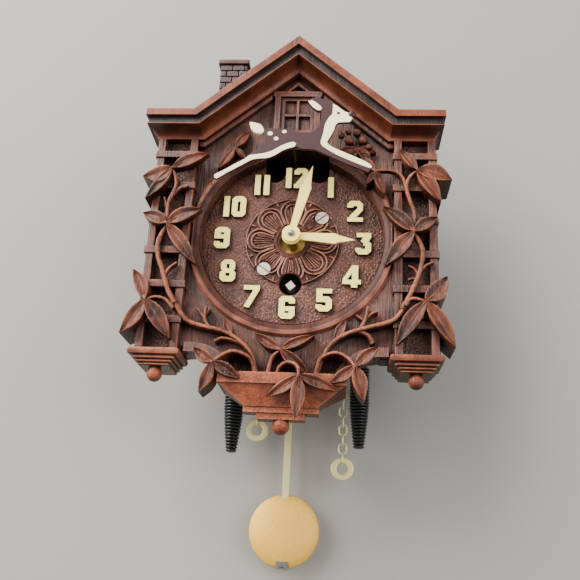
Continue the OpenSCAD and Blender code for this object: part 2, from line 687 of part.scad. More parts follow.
module bracket_leaves() seat() color("peru") {
    low_part() spray([-1.7, -47.4], [[-11.3, -41.4, 3.4], [10.6, -41.4, 3.2], [9.2, -56.4, 4]],
        ground, low_t);
    low_part() slab(-ground, 4.6) {
        stem([[-1.7, -47.4], [-4.6, -50.6], [-6, shelf_z]], 1.1, 1.3);
        stem([[-2.4, shelf_z], [-1.6, -54.6], [1.4, -53], [4.6, -54.4], [5.4, shelf_z]], 1.2, 1.2);
        translate([-7.4, -54.2]) circle(1.5);
    }
    slab(-ground, shelf_front + shelf_leaf_t - ground)
        stem([[5.4, -55.6], [5.8, shelf_z + 0.8]], 1.2, 1.2);
    slab(-shelf_front - bite, shelf_leaf_t) stem([[5.8, shelf_z + 0.8], [6, -59.1]], 1.2, 1.2);
    spray([6, -59.1], [[-5, -66.8, 3.7], [5.4, -73.8, 4.7], [19.8, -64, 3.7]],
        shelf_front + bite, shelf_leaf_t);
}

// Raised ring round the sunk dial
module dial_ring() seat() color("saddlebrown") difference() {
    intersection() {
        facing(-ground) rotate_extrude($fn = 96) polygon([[dial_r, 0], [dial_r + 0.3, 1.6],
            [dial_r + 1.6, 2.8], [dial_r + 3, 2.8], [ring_r - 1, 1.6], [ring_r, 0]]);
        translate([-batten_in + 0.65, -30, -60]) cube([2 * batten_in - 1.3, 40, 120]);
    }
    slab(10, 40) slot_outline();
}

// Rosette: eight petals round the centre hole
petals = 8;
petal_r = 3.4;
petal_at = 14.4;
module petal(grow) {
    translate([0, petal_at]) circle(petal_r + grow);
    polygon([[-petal_r - grow, petal_at], [petal_r + grow, petal_at], [1.6 + grow, 7], [-1.6 - grow, 7]]);
}
rosette_t = 0.5;
module rosette() seat() color("saddlebrown") difference() {
    union() {
        slab(floor_y, rosette_t) circle(rosette_r);
        slab(floor_y - rosette_t + bite, 0.5) {
            difference() {
                for (i = [0:petals - 1]) rotate(360 / petals * i) petal(0);
                for (i = [0:petals - 1]) rotate(360 / petals * i) petal(-0.9);
            }
            difference() {
                circle(centre_hole_r + 2);
                circle(centre_hole_r + 0.9);
            }
        }
    }
    facing(10) cylinder(r = centre_hole_r, h = 20);
    at_dial(wind_at) facing(10) cylinder(r = wind_hole_r, h = 20);
    for (p = screw_at) at_dial(p) facing(10) cylinder(r = screw_head_r + 0.15, h = 20);
}

// Numerals in block style with clipped corners, each centred on the origin
corner = 1.3;
clip = 0.31 * numeral_stroke;
function unit(v) = v / norm(v);
// Offset direction at a bend of a line, so that both edges stay parallel to it
function mitre(p, i) = let (
    a = unit(p[max(i, 1)] - p[max(i, 1) - 1]),
    b = unit(p[min(i + 1, len(p) - 1)] - p[min(i, len(p) - 2)]),
    m = [-a[1] - b[1], a[0] + b[0]])
    m / (1 + a * b);
module stroke(p, w = numeral_stroke) polygon(concat(
    [for (i = [0:len(p) - 1]) p[i] - mitre(p, i) * w / 2],
    [for (i = [len(p) - 1:-1:0]) p[i] + mitre(p, i) * w / 2]));
module block(x, z0, z1) polygon([[-x + corner, z0], [x - corner, z0], [x, z0 + corner],
    [x, z1 - corner], [x - corner, z1], [-x + corner, z1], [-x, z1 - corner], [-x, z0 + corner]]);
// Lower bowl shared by three and five, open on its left
module bowl(x, z, top) stroke([[0, top], [x - clip, top], [x, top - clip], [x, -z + clip],
    [x - clip, -z], [-x + clip, -z], [-x, -z + clip], [-x, -z + 1.6]]);
module digit(d, w = numeral_w) {
    s = numeral_stroke;
    thin = 0.8 * s;
    r = w / 2;
    top = numeral_h / 2;
    x = r - s / 2;
    z = top - s / 2;
    ring_top = 0.4;
    if (d == 0) difference() {
        block(r, -top, top);
        bar(s - r, r - s, s - top, top - s);
    }
    if (d == 1) bar(-s / 2, s / 2, -top, top);
    if (d == 2) {
        stroke([[-x, top - 3], [-x, z - clip], [-x + clip, z], [x - clip, z], [x, z - clip],
            [x, 0.9], [-x + 0.5, -top + thin - 0.3]]);
        bar(-r, r, -top, -top + thin);
    }
    if (d == 3) {
        bar(-r + 0.5, r, top - thin, top);
        polygon([[r, top - 1], [r, top - thin], [r - 1.1, 0.6], [-0.8, 0.6], [-0.8, 1.4],
            [r - 2.9, top - thin], [r - 2.9, top - 1]]);
        bowl(x, z, 0.3);
    }
    if (d == 4) difference() {
        polygon([[-r - 0.5, -1.4 - thin], [-0.3, -1.4 - thin], [-0.3, -top], [s - 0.2, -top],
            [s - 0.2, -1.4 - thin], [r + 0.4, -1.4 - thin], [r + 0.4, -1.4], [s + 0.1, -1.4],
            [s + 0.1, top], [0, top], [-r - 0.5, -1.2]]);
        polygon([[-1.9, -1.4], [0, -1.4], [0, 1.3]]);
    }
    if (d == 5) {
        bar(-r + 0.2, r, top - thin, top);
        bar(-r + 0.2, -r + 0.2 + s, 0.3 - s / 2, top);
        bar(-r + 0.2, 0.5, 0.3 - s / 2, 0.3 + s / 2);
        bowl(x, z, 0.3);
    }
    if (d == 6) difference() {
        block(r, -top, top);
        bar(s - r, r - s, ring_top, top - s);
        bar(s - r, r + 1, ring_top, ring_top + 1.2);
        bar(s - r, r - s, s - top, ring_top - thin);
    }
    if (d == 7) {
        bar(-r, r, top - thin, top);
        polygon([[-r + 0.3, -top + 0.5], [-r + 2.4, -top], [r, top - thin], [r, top - 1],
            [r - 2.4, top - 1], [r - 2.4, top - thin]]);
    }
    if (d == 8) difference() {
        union() {
            block(r, -top, 0.5);
            block(r - 0.3, -0.6, top);
        }
        bar(s - r, r - s, s - top, -thin / 2 - 0.1);
        bar(s - r + 0.2, r - s - 0.2, thin / 2, top - thin);
    }
    if (d == 9) rotate(180) digit(6, w);
}
pair_gap = 1;
narrow = 5.7;
module pair(d) {
    second = d == 1 ? numeral_stroke : narrow;
    gap = d == 1 ? 1.4 : pair_gap;
    all = numeral_stroke + gap + second;
    translate([(numeral_stroke - all) / 2, 0]) digit(1);
    translate([(all - second) / 2, 0]) digit(d, narrow);
}
numeral_lean = 1.6;
module numerals() seat() color("khaki") for (hour = [1:12])
    at_dial(numeral_ring * [sin(30 * hour + numeral_lean), cos(30 * hour + numeral_lean)])
        slab(floor_y, numeral_t) {
        if (hour > 9) pair(hour - 10);
        else digit(hour);
    }

// Two slotted screws that hold the movement to the dial
module dial_screws() seat() color("silver") for (p = screw_at) at_dial(p) {
    facing(plates_y) cylinder(r = screw_r, h = plates_y - floor_y);
    difference() {
        facing(floor_y) cylinder(r = screw_head_r, h = 1);
        rotate([0, p[0] > 0 ? -40 : 35, 0]) translate([-4, floor_y - 1.2, -0.35]) cube([8, 0.6, 0.7]);
    }
}

// Movement plates, with a pivot hole for each arbor
pivots = [third_at, fourth_at, escape_at];
module plate_outline() difference() {
    bar(-plate_half, plate_half, -plate_high, plate_high);
    for (s = [-1, 1]) translate([s * plate_half, 0]) circle(5);
}
module front_plate() seat() color("goldenrod") difference() {
    slab(inner_y, plate_t) plate_outline();
    for (p = pivots) at_dial(p) facing(inner_y + 1) cylinder(r = pivot_r + run_gap, h = 5);
    facing(inner_y + 1) cylinder(r = arbor_r + run_gap, h = 5);
    at_dial(wind_at) facing(inner_y + 1) cylinder(r = wind_r + run_gap, h = 5);
    at_dial(pivot_at) facing(inner_y + 1) cylinder(r = verge_r + run_gap, h = 5);
}
module back_plate() seat() color("goldenrod") difference() {
    slab(back_plate_y + plate_t, plate_t) plate_outline();
    for (p = concat(pivots, [[0, 0]])) at_dial(p) facing(back_plate_y + 3)
        cylinder(r = pivot_r + run_gap, h = 5);
    at_dial(wind_at) facing(back_plate_y + 3) cylinder(r = wind_r + run_gap, h = 5);
    at_dial(pivot_at) facing(back_plate_y + 3) cylinder(r = verge_r + run_gap, h = 5);
}
module pillars() seat() color("goldenrod") for (sx = [-1, 1], sz = [-1, 1])
    at_dial([sx * pillar_at[0], sz * pillar_at[1]]) {
        facing(back_plate_y) cylinder(r = pillar_r, h = plate_gap);
        facing(plates_y) cylinder(r = pillar_r, h = plates_y - panel_back);
    }

// Cock on the back plate with the pin from which the pendulum hangs
cock_y = rod_y + 1.8;
module pendulum_cock() seat() color("goldenrod") {
    slab(cock_y + 1, 1) bar(-3, 3, pivot_z - 1.6, pivot_z + 6);
    slab(cock_y + bite, cock_y - back_plate_y - plate_t + bite) bar(-3, 3, pivot_z + 2.8, pivot_z + 6);
    at_dial(pivot_at) facing(cock_y + bite) cylinder(r = 0.8, h = cock_y - rod_y + rod_t + 0.2);
}

// Mainspring: a flat strip wound in a spiral, its outer end led to a pillar
spring_steps = 16;
module mainspring() seat() color("slategray") at_dial(wind_at) slab(spring_y + strip_w, strip_w) {
    n = spring_turns * spring_steps;
    post = [pillar_at[0], wind_drop - pillar_at[1]];
    last = spring_out * [cos(spring_end), sin(spring_end)];
    lead = post - last;
    path = concat([for (i = [0:n]) let (a = spring_end - 360 * (n - i) / spring_steps,
        r = spring_in + (spring_out - spring_in) * i / n) r * [cos(a), sin(a)]],
        [last + lead * 0.5, last + lead * (1 - (pillar_r + 0.1) / norm(lead))]);
    m = len(path) - 1;
    polygon(concat([for (i = [0:m]) path[i] + side(path, i) * strip_t / 2],
        [for (i = [m:-1:0]) path[i] - side(path, i) * strip_t / 2]));
}
module winding_arbor() seat() color("silver") at_dial(wind_at) {
    facing(back_plate_y + plate_t) cylinder(r = wind_r, h = back_plate_y + 2 * plate_t - plates_y + 1);
    facing(spring_y + strip_w) cylinder(r = core_r, h = strip_w + 0.5);
    slab(plates_y - 0.6, plates_y - 3.2) rotate(40) square(square_w, center = true);
}
module ratchet_wheel() seat() color("goldenrod") at_dial(wind_at)
    slab(ratchet_y + 1, 1) difference() {
        polygon([for (i = [0:ratchet_n - 1], k = [0, 1])
            (ratchet_r + (k == 0 ? 0.8 : 0)) * [cos(360 / ratchet_n * i + 4 * k),
                sin(360 / ratchet_n * i + 4 * k)]]);
        circle(wind_r + bite);
    }
click_at = [0, 8.6];
module great_wheel() seat() color("goldenrod") at_dial(wind_at) {
    slab(great_y + great_t, great_t) wheel(great_n, great_m, wind_r + run_gap, 90 + 180 / great_n);
    slab(great_y + great_t + bite, great_t + 2 * bite) difference() {
        circle(9.6);
        circle(7.6);
    }
    at_dial(click_at) facing(great_y) cylinder(r = 0.6, h = 1.9);
}
module click() seat() color("silver") at_dial(wind_at) slab(ratchet_y + 1, 0.9) difference() {
    polygon([click_at + [-1.5, 0.2], click_at + [1.3, 1], click_at + [1.3, -1],
        (ratchet_r + 0.95) * [cos(64), sin(64)], (ratchet_r + 1.05) * [cos(72), sin(72)]]);
    translate(click_at) circle(0.6 + run_gap);
}
module click_spring() seat() color("silver") at_dial(wind_at) slab(ratchet_y + 0.9, 0.6)
    stem([[7.4, 4.4], [6.4, 7.4], [3.6, 9.2], [1.5, 9.6]], 0.5, 0.4);

// Going train: an arbor and a wheel for each step, meshed at rest
module pinion(p, y, n, m, turn) at_dial(p) slab(y + wheel_t + 0.6, wheel_t + 1.2)
    gear(n, m, turn, 0.6, 1.15, 0.34);
function mesh(p, q) = atan2(q[1] - p[1], q[0] - p[0]);
third_dir = mesh([0, 0], third_at);
fourth_dir = mesh(third_at, fourth_at);
escape_dir = mesh(fourth_at, escape_at);
module centre_arbor() seat() color("silver") {
    facing(back_plate_y - 0.1) cylinder(r = arbor_r, h = back_plate_y - 0.1 - minute_hand_y - 1.4);
    facing(back_plate_y + plate_t) cylinder(r = pivot_r, h = plate_t + 1);
    pinion([0, 0], great_y + 0.2, centre_leaves, great_m, -90);
}
module centre_wheel() seat() color("goldenrod") slab(centre_y + wheel_t, wheel_t)
    wheel(centre_n, centre_m, arbor_r + bite, third_dir);
module third_arbor() seat() color("silver") {
    at_dial(third_at) arbor([0, 0], arbor_r);
    pinion(third_at, centre_y, third_leaves, centre_m, third_dir + 180 + 180 / third_leaves);
}
module third_wheel() seat() color("goldenrod") at_dial(third_at) slab(third_y + wheel_t, wheel_t)
    wheel(third_n, third_m, arbor_r + bite, fourth_dir);
module fourth_arbor() seat() color("silver") {
    at_dial(fourth_at) arbor([0, 0], arbor_r);
    pinion(fourth_at, third_y, fourth_leaves, third_m, fourth_dir + 180 + 180 / fourth_leaves);
}
module fourth_wheel() seat() color("goldenrod") at_dial(fourth_at) slab(fourth_y + wheel_t, wheel_t)
    wheel(fourth_n, fourth_m, arbor_r + bite, escape_dir);
module escape_arbor() seat() color("silver") {
    at_dial(escape_at) arbor([0, 0], arbor_r);
    pinion(escape_at, fourth_y, escape_leaves, fourth_m, escape_dir + 180 + 180 / escape_leaves);
}
module escape_wheel() seat() color("goldenrod") at_dial(escape_at) slab(escape_y + wheel_t, wheel_t)
    difference() {
        polygon([for (i = [0:escape_n - 1], k = [0:2]) (escape_r - [0, 1.3, 1.3][k])
            * [cos(360 / escape_n * i + [0, 1.5, 7][k]), sin(360 / escape_n * i + [0, 1.5, 7][k])]]);
        difference() {
            circle(escape_r - 2.4);
            circle(arbor_r + 1.2);
            for (a = [0, 90, 180, 270]) rotate(a) bar(0, escape_r, -0.5, 0.5);
        }
        circle(arbor_r + bite);
    }

// Motion work behind the dial: twelve turns of the minute hand to one of the hour hand
minute_dir = mesh([0, 0], minute_at);
hour_gap = 0.06;
module cannon_pinion() seat() color("goldenrod") difference() {
    union() {
        slab(cannon_y + 2.2, 2.2) gear(cannon_n, motion_m, minute_dir + 180 / cannon_n, 0.6, 1.15, 0.34);
        facing(cannon_y + 2.4) cylinder(r = cannon_r, h = cannon_y + 2.4 - minute_hand_y + hand_t);
    }
    facing(cannon_y + 5) cylinder(r = arbor_r + run_gap, h = 40);
}
module minute_wheel() seat() color("goldenrod") at_dial(minute_at) {
    slab(minute_y + wheel_t, wheel_t) wheel(minute_n, motion_m, 0.7 + run_gap, minute_dir + 180);
    slab(minute_y + bite, minute_y - hour_y + bite + 0.3) difference() {
        gear(minute_leaves, motion_m, minute_dir + 180 + 180 / minute_leaves, 0.6, 1.15, 0.34);
        circle(0.7 + run_gap);
    }
}
module hour_wheel() seat() color("goldenrod") difference() {
    union() {
        slab(hour_y + wheel_t, wheel_t) gear(hour_n, motion_m, minute_dir);
        facing(hour_y + wheel_t) cylinder(r = hour_pipe_r, h = hour_y + wheel_t - hour_hand_y + hand_t);
    }
    facing(hour_y + 5) cylinder(r = cannon_r + hour_gap, h = 40);
}

// Hands: a round hub, a blade that widens to a shoulder, and a point
module hand(len, w0, w1, shoulder, hub, hole) difference() {
    union() {
        circle(hub);
        polygon([[w0 / 2, 0], [w1 / 2, shoulder], [w1 / 2 - 0.5, shoulder + 0.9], [0, len],
            [-w1 / 2 + 0.5, shoulder + 0.9], [-w1 / 2, shoulder], [-w0 / 2, 0]]);
    }
    circle(hole);
}
module hour_hand() seat() color("khaki") slab(hour_hand_y, hand_t) rotate(-hour_angle)
    hand(hour_len, 2.6, 4.4, 17, 3.7, hour_pipe_r + bite);
module minute_hand() seat() color("khaki") slab(minute_hand_y, hand_t) rotate(-minute_angle)
    hand(minute_len, 2.2, 4.4, 21, 3.5, cannon_r + bite);
module hand_nut() seat() color("silver") {
    facing(minute_hand_y - hand_t) {
        cylinder(r = cannon_r, h = 0.4);
        translate([0, 0, 0.2]) intersection() {
            sphere(cannon_r - 0.1);
            cylinder(r = 3, h = 3);
        }
    }
    facing(minute_hand_y - hand_t + 1.2) cylinder(r = arbor_r, h = 1.3);
}

// Verge: anchor over the escape wheel, on the arbor that also carries leader and deer
module verge() seat() color("silver") at_dial(pivot_at) slab(escape_y + wheel_t, wheel_t)
    difference() {
        union() {
            circle(1.7);
            polygon([[0, -1.2], [5.6, -3.4], [6, -4.3], [6.9, -4.4], [6.6, -2.6], [0, 1.4],
                [-6.6, -2.6], [-6.9, -4.4], [-6, -4.3], [-5.6, -3.4]]);
        }
        circle(verge_r + bite);
    }
module verge_arbor() seat() color("silver") at_dial(pivot_at)
    facing(rod_y - 1) cylinder(r = verge_r, h = rod_y - 1 - panel_back - 0.8);
leader_len = 24;
module pendulum_leader() seat() color("silver") at_dial(pivot_at) {
    leader_y = rod_y - 1.2;
    slab(leader_y, 0.9) difference() {
        union() {
            circle(1.7);
            bar(-0.7, 0.7, -leader_len, 0);
            bar(-2.6, 2.6, -leader_len, -leader_len + 1.2);
        }
        circle(verge_r + bite);
    }
    // Fork that takes the rod between its prongs
    for (s = [-1, 1]) translate([s * 2.1 - 0.5, leader_y - bite, -leader_len])
        cube([1, 2.2, 1.2]);
}
arm_rise = 5.5;
arm_r = 0.7;
module deer_arm() seat() color("silver") {
    arm_y = panel_back + 1.9;
    at_dial(pivot_at) slab(arm_y, 1) difference() {
        union() {
            circle(1.5);
            bar(-0.9, 0.9, 0, arm_rise + 0.7);
        }
        circle(verge_r + bite);
    }
    at_dial([0, pivot_z + arm_rise]) facing(arm_y - 0.5)
        cylinder(r = arm_r, h = arm_y - 0.5 + deer_front - deer_t);
}

// Leaping deer, cut from flat stock
deer_back = [[-12.4, 41.4], [-6.6, 42.1], [-1.9, 41.9], [3.1, 40.4], [7.3, 40.7], [9.8, 44.6],
    [10.3, 48.4], [8.7, 50.2], [5.4, 53.2], [4.6, 55.2], [6.8, 56.7], [10.6, 56.3], [14.8, 53.7],
    [17.6, 51.8], [20.4, 49.9]];
deer_chest = [[20.9, 47.6], [22.6, 46.9], [21.2, 45.2], [17.6, 44.9], [15.9, 43.2], [14.4, 38.8],
    [13, 36.2], [14.6, 34]];
deer_belly = [[8.7, 32.3], [5, 32.7], [1.1, 33.6], [-1.9, 33], [-6.6, 30.3], [-10.3, 28.5],
    [-15.8, 27.8]];
deer_rump = [[-19, 28.3], [-14.9, 32.6], [-11.8, 34.8], [-12, 38]];
module deer() seat() color("rosybrown") {
    slab(-deer_front + deer_t, deer_t) {
        polygon(concat(smooth(deer_back), smooth(deer_chest),
            [[29.8, 26.5], [30, 24.4], [29.1, 22.9]], smooth(deer_belly),
            [[-29.6, 19.1], [-30.7, 20.8]], smooth(deer_rump)));
        translate([22.2, 48.9]) circle(1.6);
        leaf([-11.6, 40.6], [-18.6, 45], 4.6);
    }
    slab(-deer_front + deer_t, 0.2 + deer_t) {
        translate([-9.7, 39.7]) circle(1);
        translate([-7.2, 37.3]) circle(0.9);
        translate([-4.1, 40.6]) circle(0.9);
    }
}

// Pendulum: flat rod hung on the cock's pin, a bob that slides on it, and the bob's spring clip
rod_fit = 0.12;
rod_end = 6;
module pendulum_rod() seat() color("gold") at_dial(pivot_at) slab(rod_y, rod_t) difference() {
    union() {
        circle(2);
        bar(-rod_w / 2, rod_w / 2, -pendulum_len - bob_r + rod_end, 0);
    }
    circle(0.8 + run_gap);
}
bob_z = pivot_z - pendulum_len;
module rod_way() translate([-rod_w / 2 - rod_fit, rod_y - rod_t - rod_fit, bob_z - 30])
    cube([rod_w + 2 * rod_fit, rod_t + 2 * rod_fit, 60]);
module pendulum_bob() seat() color("gold") difference() {
    at_dial([0, bob_z]) facing(rod_y + bob_t / 2) {
        rotate_extrude($fn = 96) polygon(concat([[0, 0.6], [bob_r - 1, 0.6], [bob_r, 1.2]],
            [for (i = [0:8]) let (a = 90 * i / 8)
                [bob_r * cos(a), 1.9 + (bob_t - 1.9) * sin(a)]]));
    }
    rod_way();
    translate([-2.4, rod_y - rod_t / 2 - 0.9, bob_z - bob_r - 1]) cube([4.8, 1.8, 4.4]);
}
module bob_clip() seat() color("silver") difference() {
    translate([-2.2, rod_y - rod_t / 2 - 0.75, bob_z - bob_r - 0.3]) cube([4.4, 1.5, 3.2]);
    rod_way();
    translate([-0.8, rod_y - 3, bob_z - bob_r - 1]) cube([1.6, 6, 1.7]);
}

// Eyes under the box, chains of twisted wire links, pull rings and dummy weights
module torus(r, w) rotate([90, 0, 0]) rotate_extrude() translate([r, 0]) circle(w, $fn = 24);
module eye(x, z, turned) translate([x, hang_y, z]) {
    rotate([0, 0, turned]) torus(eye_r + eye_wire / 2, eye_wire / 2);
    translate([0, 0, eye_r + 0.3]) cylinder(r = eye_wire / 2, h = -box_low + box_wall - 0.8 - z - eye_r);
}
module case_hooks() seat() color("gold") for (i = [0, 1]) {
    eye(chain_x[i], eye_z[i], 90);
    eye(weight_x[i], weight_top[i] + weight_eye, 0);
}
// A link is one wire bent to an eight, its lower loop a quarter turn from its upper one
module loop() for (s = [0, 180]) rotate([0, s, 0]) {
    translate([0, 0, loop_len / 2]) rotate([90, 0, 0]) rotate_extrude(angle = 180)
        translate([loop_r, 0]) circle(wire / 2, $fn = 24);
    translate([loop_r, 0, -loop_len / 2]) cylinder(r = wire / 2, h = loop_len, $fn = 24);
}
module link() {
    translate([0, 0, loop_r + loop_len / 2]) loop();
    translate([0, 0, -loop_r - loop_len / 2]) rotate([0, 0, 90]) loop();
}
function link_z(i, k) = eye_z[i] - eye_r - link_in / 2 + link_play - link_pitch * k;
module chain(i) for (k = [0:chain_links[i] - 1]) translate([chain_x[i], hang_y, link_z(i, k)]) link();
function ring_z(i) = link_z(i, chain_links[i] - 1) - link_in / 2 - pull_r + pull_w + link_play;
module pull_ring(i) translate([chain_x[i], hang_y, ring_z(i)]) rotate([90, 0, 0])
    rotate_extrude($fn = 64) translate([pull_r, 0]) polygon([[-pull_w, -pull_t / 2 + 0.4],
        [-pull_w + 0.4, -pull_t / 2], [pull_w - 0.4, -pull_t / 2], [pull_w, -pull_t / 2 + 0.4],
        [pull_w, pull_t / 2 - 0.4], [pull_w - 0.4, pull_t / 2], [-pull_w + 0.4, pull_t / 2],
        [-pull_w, pull_t / 2 - 0.4]]);
module chain_left() seat() color("gold") chain(0);
module chain_right() seat() color("gold") chain(1);
module ring_left() seat() color("gold") pull_ring(0);
module ring_right() seat() color("gold") pull_ring(1);
// Ribbed weight: straight for its upper half, then narrowing to the tip, with a wire loop on top
function rib_r(t) = weight_r * (t < 0.45 ? 1 : 1 - 0.48 * pow((t - 0.45) / 0.55, 1.3));
module weight(i) translate([weight_x[i], hang_y, weight_top[i]]) {
    rib = weight_len / weight_ribs;
    rotate_extrude() polygon(concat([[0, 0]], [for (k = [0:weight_ribs - 1], e = [0:3])
        [rib_r((k + 0.5) / weight_ribs) - [0.8, 0, 0, 0.8][e],
            -rib * (k + [0.12, 0.3, 0.7, 0.88][e])]], [[0, -weight_len]]));
    translate([0, 0, 0.2 + weight_loop]) rotate([0, 0, 90]) torus(weight_loop, wire / 2);
}
module weight_left() seat() color("black") weight(0);
module weight_right() seat() color("black") weight(1);

front_panel();
case_box();
back_cover();
hanger_plate();
cover_screws();
panel_screws();
roof_moulding();
chimney();
gable_window();
berry_sprig();
trellis();
feet();
bracket();
vine_left();
vine_right();
bracket_leaves();
dial_ring();
rosette();
numerals();
dial_screws();
front_plate();
back_plate();
pillars();
pendulum_cock();
mainspring();
winding_arbor();
ratchet_wheel();
great_wheel();
click();
click_spring();
centre_arbor();
centre_wheel();
third_arbor();
third_wheel();
fourth_arbor();
fourth_wheel();
escape_arbor();
escape_wheel();
cannon_pinion();
minute_wheel();
hour_wheel();
hour_hand();
minute_hand();
hand_nut();
verge();
verge_arbor();
pendulum_leader();
deer_arm();
deer();
pendulum_rod();
pendulum_bob();
bob_clip();
case_hooks();
chain_left();
chain_right();
ring_left();
ring_right();
weight_left();
weight_right();
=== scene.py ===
import json
import math

import bmesh
import bpy
from mathutils import Matrix, Quaternion, Vector

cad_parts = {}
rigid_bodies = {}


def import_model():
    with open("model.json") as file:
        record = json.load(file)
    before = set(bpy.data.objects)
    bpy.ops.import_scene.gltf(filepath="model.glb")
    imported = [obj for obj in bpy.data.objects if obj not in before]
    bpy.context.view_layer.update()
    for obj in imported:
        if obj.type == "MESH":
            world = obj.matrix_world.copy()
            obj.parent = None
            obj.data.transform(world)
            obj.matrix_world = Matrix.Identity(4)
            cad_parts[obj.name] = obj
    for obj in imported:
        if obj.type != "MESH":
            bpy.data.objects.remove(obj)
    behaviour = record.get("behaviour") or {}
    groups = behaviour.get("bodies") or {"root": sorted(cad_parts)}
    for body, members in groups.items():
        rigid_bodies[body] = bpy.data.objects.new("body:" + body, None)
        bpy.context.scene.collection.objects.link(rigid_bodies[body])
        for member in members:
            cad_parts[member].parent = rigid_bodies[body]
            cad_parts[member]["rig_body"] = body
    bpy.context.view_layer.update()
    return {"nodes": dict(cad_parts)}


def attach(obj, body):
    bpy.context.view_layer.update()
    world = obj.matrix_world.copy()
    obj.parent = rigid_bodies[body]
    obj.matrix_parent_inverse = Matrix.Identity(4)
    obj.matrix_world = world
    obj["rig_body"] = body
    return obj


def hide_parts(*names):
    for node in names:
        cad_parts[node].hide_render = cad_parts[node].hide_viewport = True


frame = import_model()


# Camera and wall:
# The clock hangs on a pale plain wall and is seen from a little below its middle, close up, with
# a big soft light from the upper left and two weaker ones from the right and the left.

# Sizes below are in millimetres from the dial's centre: x right, y into the wall, z up
DIAL_DEPTH, DIAL_DROP = 38, 36.5
TO_KEYHOLE = Matrix.Scale(0.001, 4) @ Matrix.Translation((0, -DIAL_DEPTH, -DIAL_DROP))
AIM = Vector((0.17, 0, -20.9))
AZIMUTH, ELEVATION, ROLL, DISTANCE = math.radians(4.44), math.radians(-20.48), math.radians(2.88), 288.7

away = Vector((math.sin(AZIMUTH) * math.cos(ELEVATION), -math.cos(AZIMUTH) * math.cos(ELEVATION),
               math.sin(ELEVATION)))
camera = bpy.data.objects.new("camera", bpy.data.cameras.new("camera"))
camera.data.lens = 46.5
camera.data.sensor_width = 36
camera.data.clip_start = 0.01
camera.location = TO_KEYHOLE @ (AIM + away * DISTANCE)
camera.rotation_mode = "QUATERNION"
camera.rotation_quaternion = (-away).to_track_quat("-Z", "Y") @ Quaternion((0, 0, 1), ROLL)
bpy.context.scene.collection.objects.link(camera)
bpy.context.scene.camera = camera


def lamp(name, spot, target, size, watts, tint):
    data = bpy.data.lights.new(name, "AREA")
    data.shape = "DISK"
    data.size = size
    data.energy = watts
    data.color = tint
    made = bpy.data.objects.new(name, data)
    made.location = spot
    made.rotation_mode = "QUATERNION"
    made.rotation_quaternion = (Vector(target) - Vector(spot)).to_track_quat("-Z", "Y")
    bpy.context.scene.collection.objects.link(made)


lamp("window_light", (-0.72, -0.52, 0.78), (0, 0, -0.04), 1.3, 60.0, (1, 0.98, 0.95))
lamp("room_light", (0.75, -0.8, 0.1), (0, 0, -0.05), 0.9, 11.0, (0.98, 0.99, 1))
lamp("bounce_light", (-0.85, -0.8, 0.0), (0, 0, -0.05), 0.9, 10.0, (1, 0.98, 0.95))

world = bpy.data.worlds.new("room")
world.use_nodes = True
world.node_tree.nodes["Background"].inputs["Color"].default_value = (0.8, 0.81, 0.83, 1)
world.node_tree.nodes["Background"].inputs["Strength"].default_value = 0.6
bpy.context.scene.world = world


def paint(code, alpha=1.0):
    """A colour as a shader takes it, from its six-digit code."""
    parts = [int(code[i:i + 2], 16) / 255 for i in (0, 2, 4)]
    return tuple(c / 12.92 if c < 0.04045 else ((c + 0.055) / 1.055) ** 2.4 for c in parts) + (alpha,)


def add(tree, kind, inputs=(), **settings):
    """Adds one shader node; an input is a plain value or the socket that feeds it."""
    made = tree.nodes.new("ShaderNode" + kind)
    for name, value in settings.items():
        setattr(made, name, value)
    for place, value in dict(inputs).items():
        if isinstance(value, bpy.types.NodeSocket):
            tree.links.new(value, made.inputs[place])
        else:
            made.inputs[place].default_value = value
    return made


def reckon(tree, operation, *values, **settings):
    """One sum on plain numbers or the sockets that feed it."""
    return add(tree, "Math", enumerate(values), operation=operation, **settings).outputs[0]


def material(name, **plain):
    """A material with its Principled BSDF, plain numbers set on the shader's own sockets."""
    made = bpy.data.materials.new(name)
    made.use_nodes = True
    shader = made.node_tree.nodes["Principled BSDF"]
    for socket, value in plain.items():
        shader.inputs[socket.replace("_", " ")].default_value = value
    return made, made.node_tree, shader


wall_finish, tree, shader = material("pale_wall", Base_Color=paint("928f88"), Roughness=0.75)
# Seen through from behind, and by light on its way to the clock's back
flight = add(tree, "LightPath").outputs["Ray Length"]
behind = add(tree, "NewGeometry").outputs["Backfacing"]
NEAR_THE_WALL = 0.02
clear = reckon(tree, "MAXIMUM", behind, reckon(tree, "LESS_THAN", flight, NEAR_THE_WALL))
choice = add(tree, "MixShader", {0: clear, 1: shader.outputs[0],
                                 2: add(tree, "BsdfTransparent").outputs[0]})
tree.links.new(choice.outputs[0], tree.nodes["Material Output"].inputs["Surface"])
WALL_GAP = 0.0005
sheet = bmesh.new()
bmesh.ops.create_grid(sheet, x_segments=1, y_segments=1, size=4)
bmesh.ops.rotate(sheet, verts=sheet.verts, matrix=Matrix.Rotation(math.radians(90), 3, "X"))
bmesh.ops.translate(sheet, verts=sheet.verts, vec=(0, WALL_GAP, 0))
mesh = bpy.data.meshes.new("wall")
sheet.to_mesh(mesh)
sheet.free()
wall = bpy.data.objects.new("wall", mesh)
wall.data.materials.append(wall_finish)
wall.visible_shadow = False
bpy.context.scene.collection.objects.link(wall)


# Front panel:
# One board of moulded wood flour, brown-stained. Its ground is combed with upright grain, the
# sunk dial is punched to a pebbled leather-like ground, and so are the fields behind the trellis.


def new_group(name, inputs, outputs):
    """An empty node group with named sockets, what it is given and what it puts out."""
    group = bpy.data.node_groups.new(name, "ShaderNodeTree")
    for way, sockets in (("INPUT", inputs), ("OUTPUT", outputs)):
        for socket, kind in sockets.items():
            group.interface.new_socket(socket, in_out=way, socket_type="NodeSocket" + kind)
    return group, group.nodes.new("NodeGroupInput").outputs, group.nodes.new("NodeGroupOutput").inputs


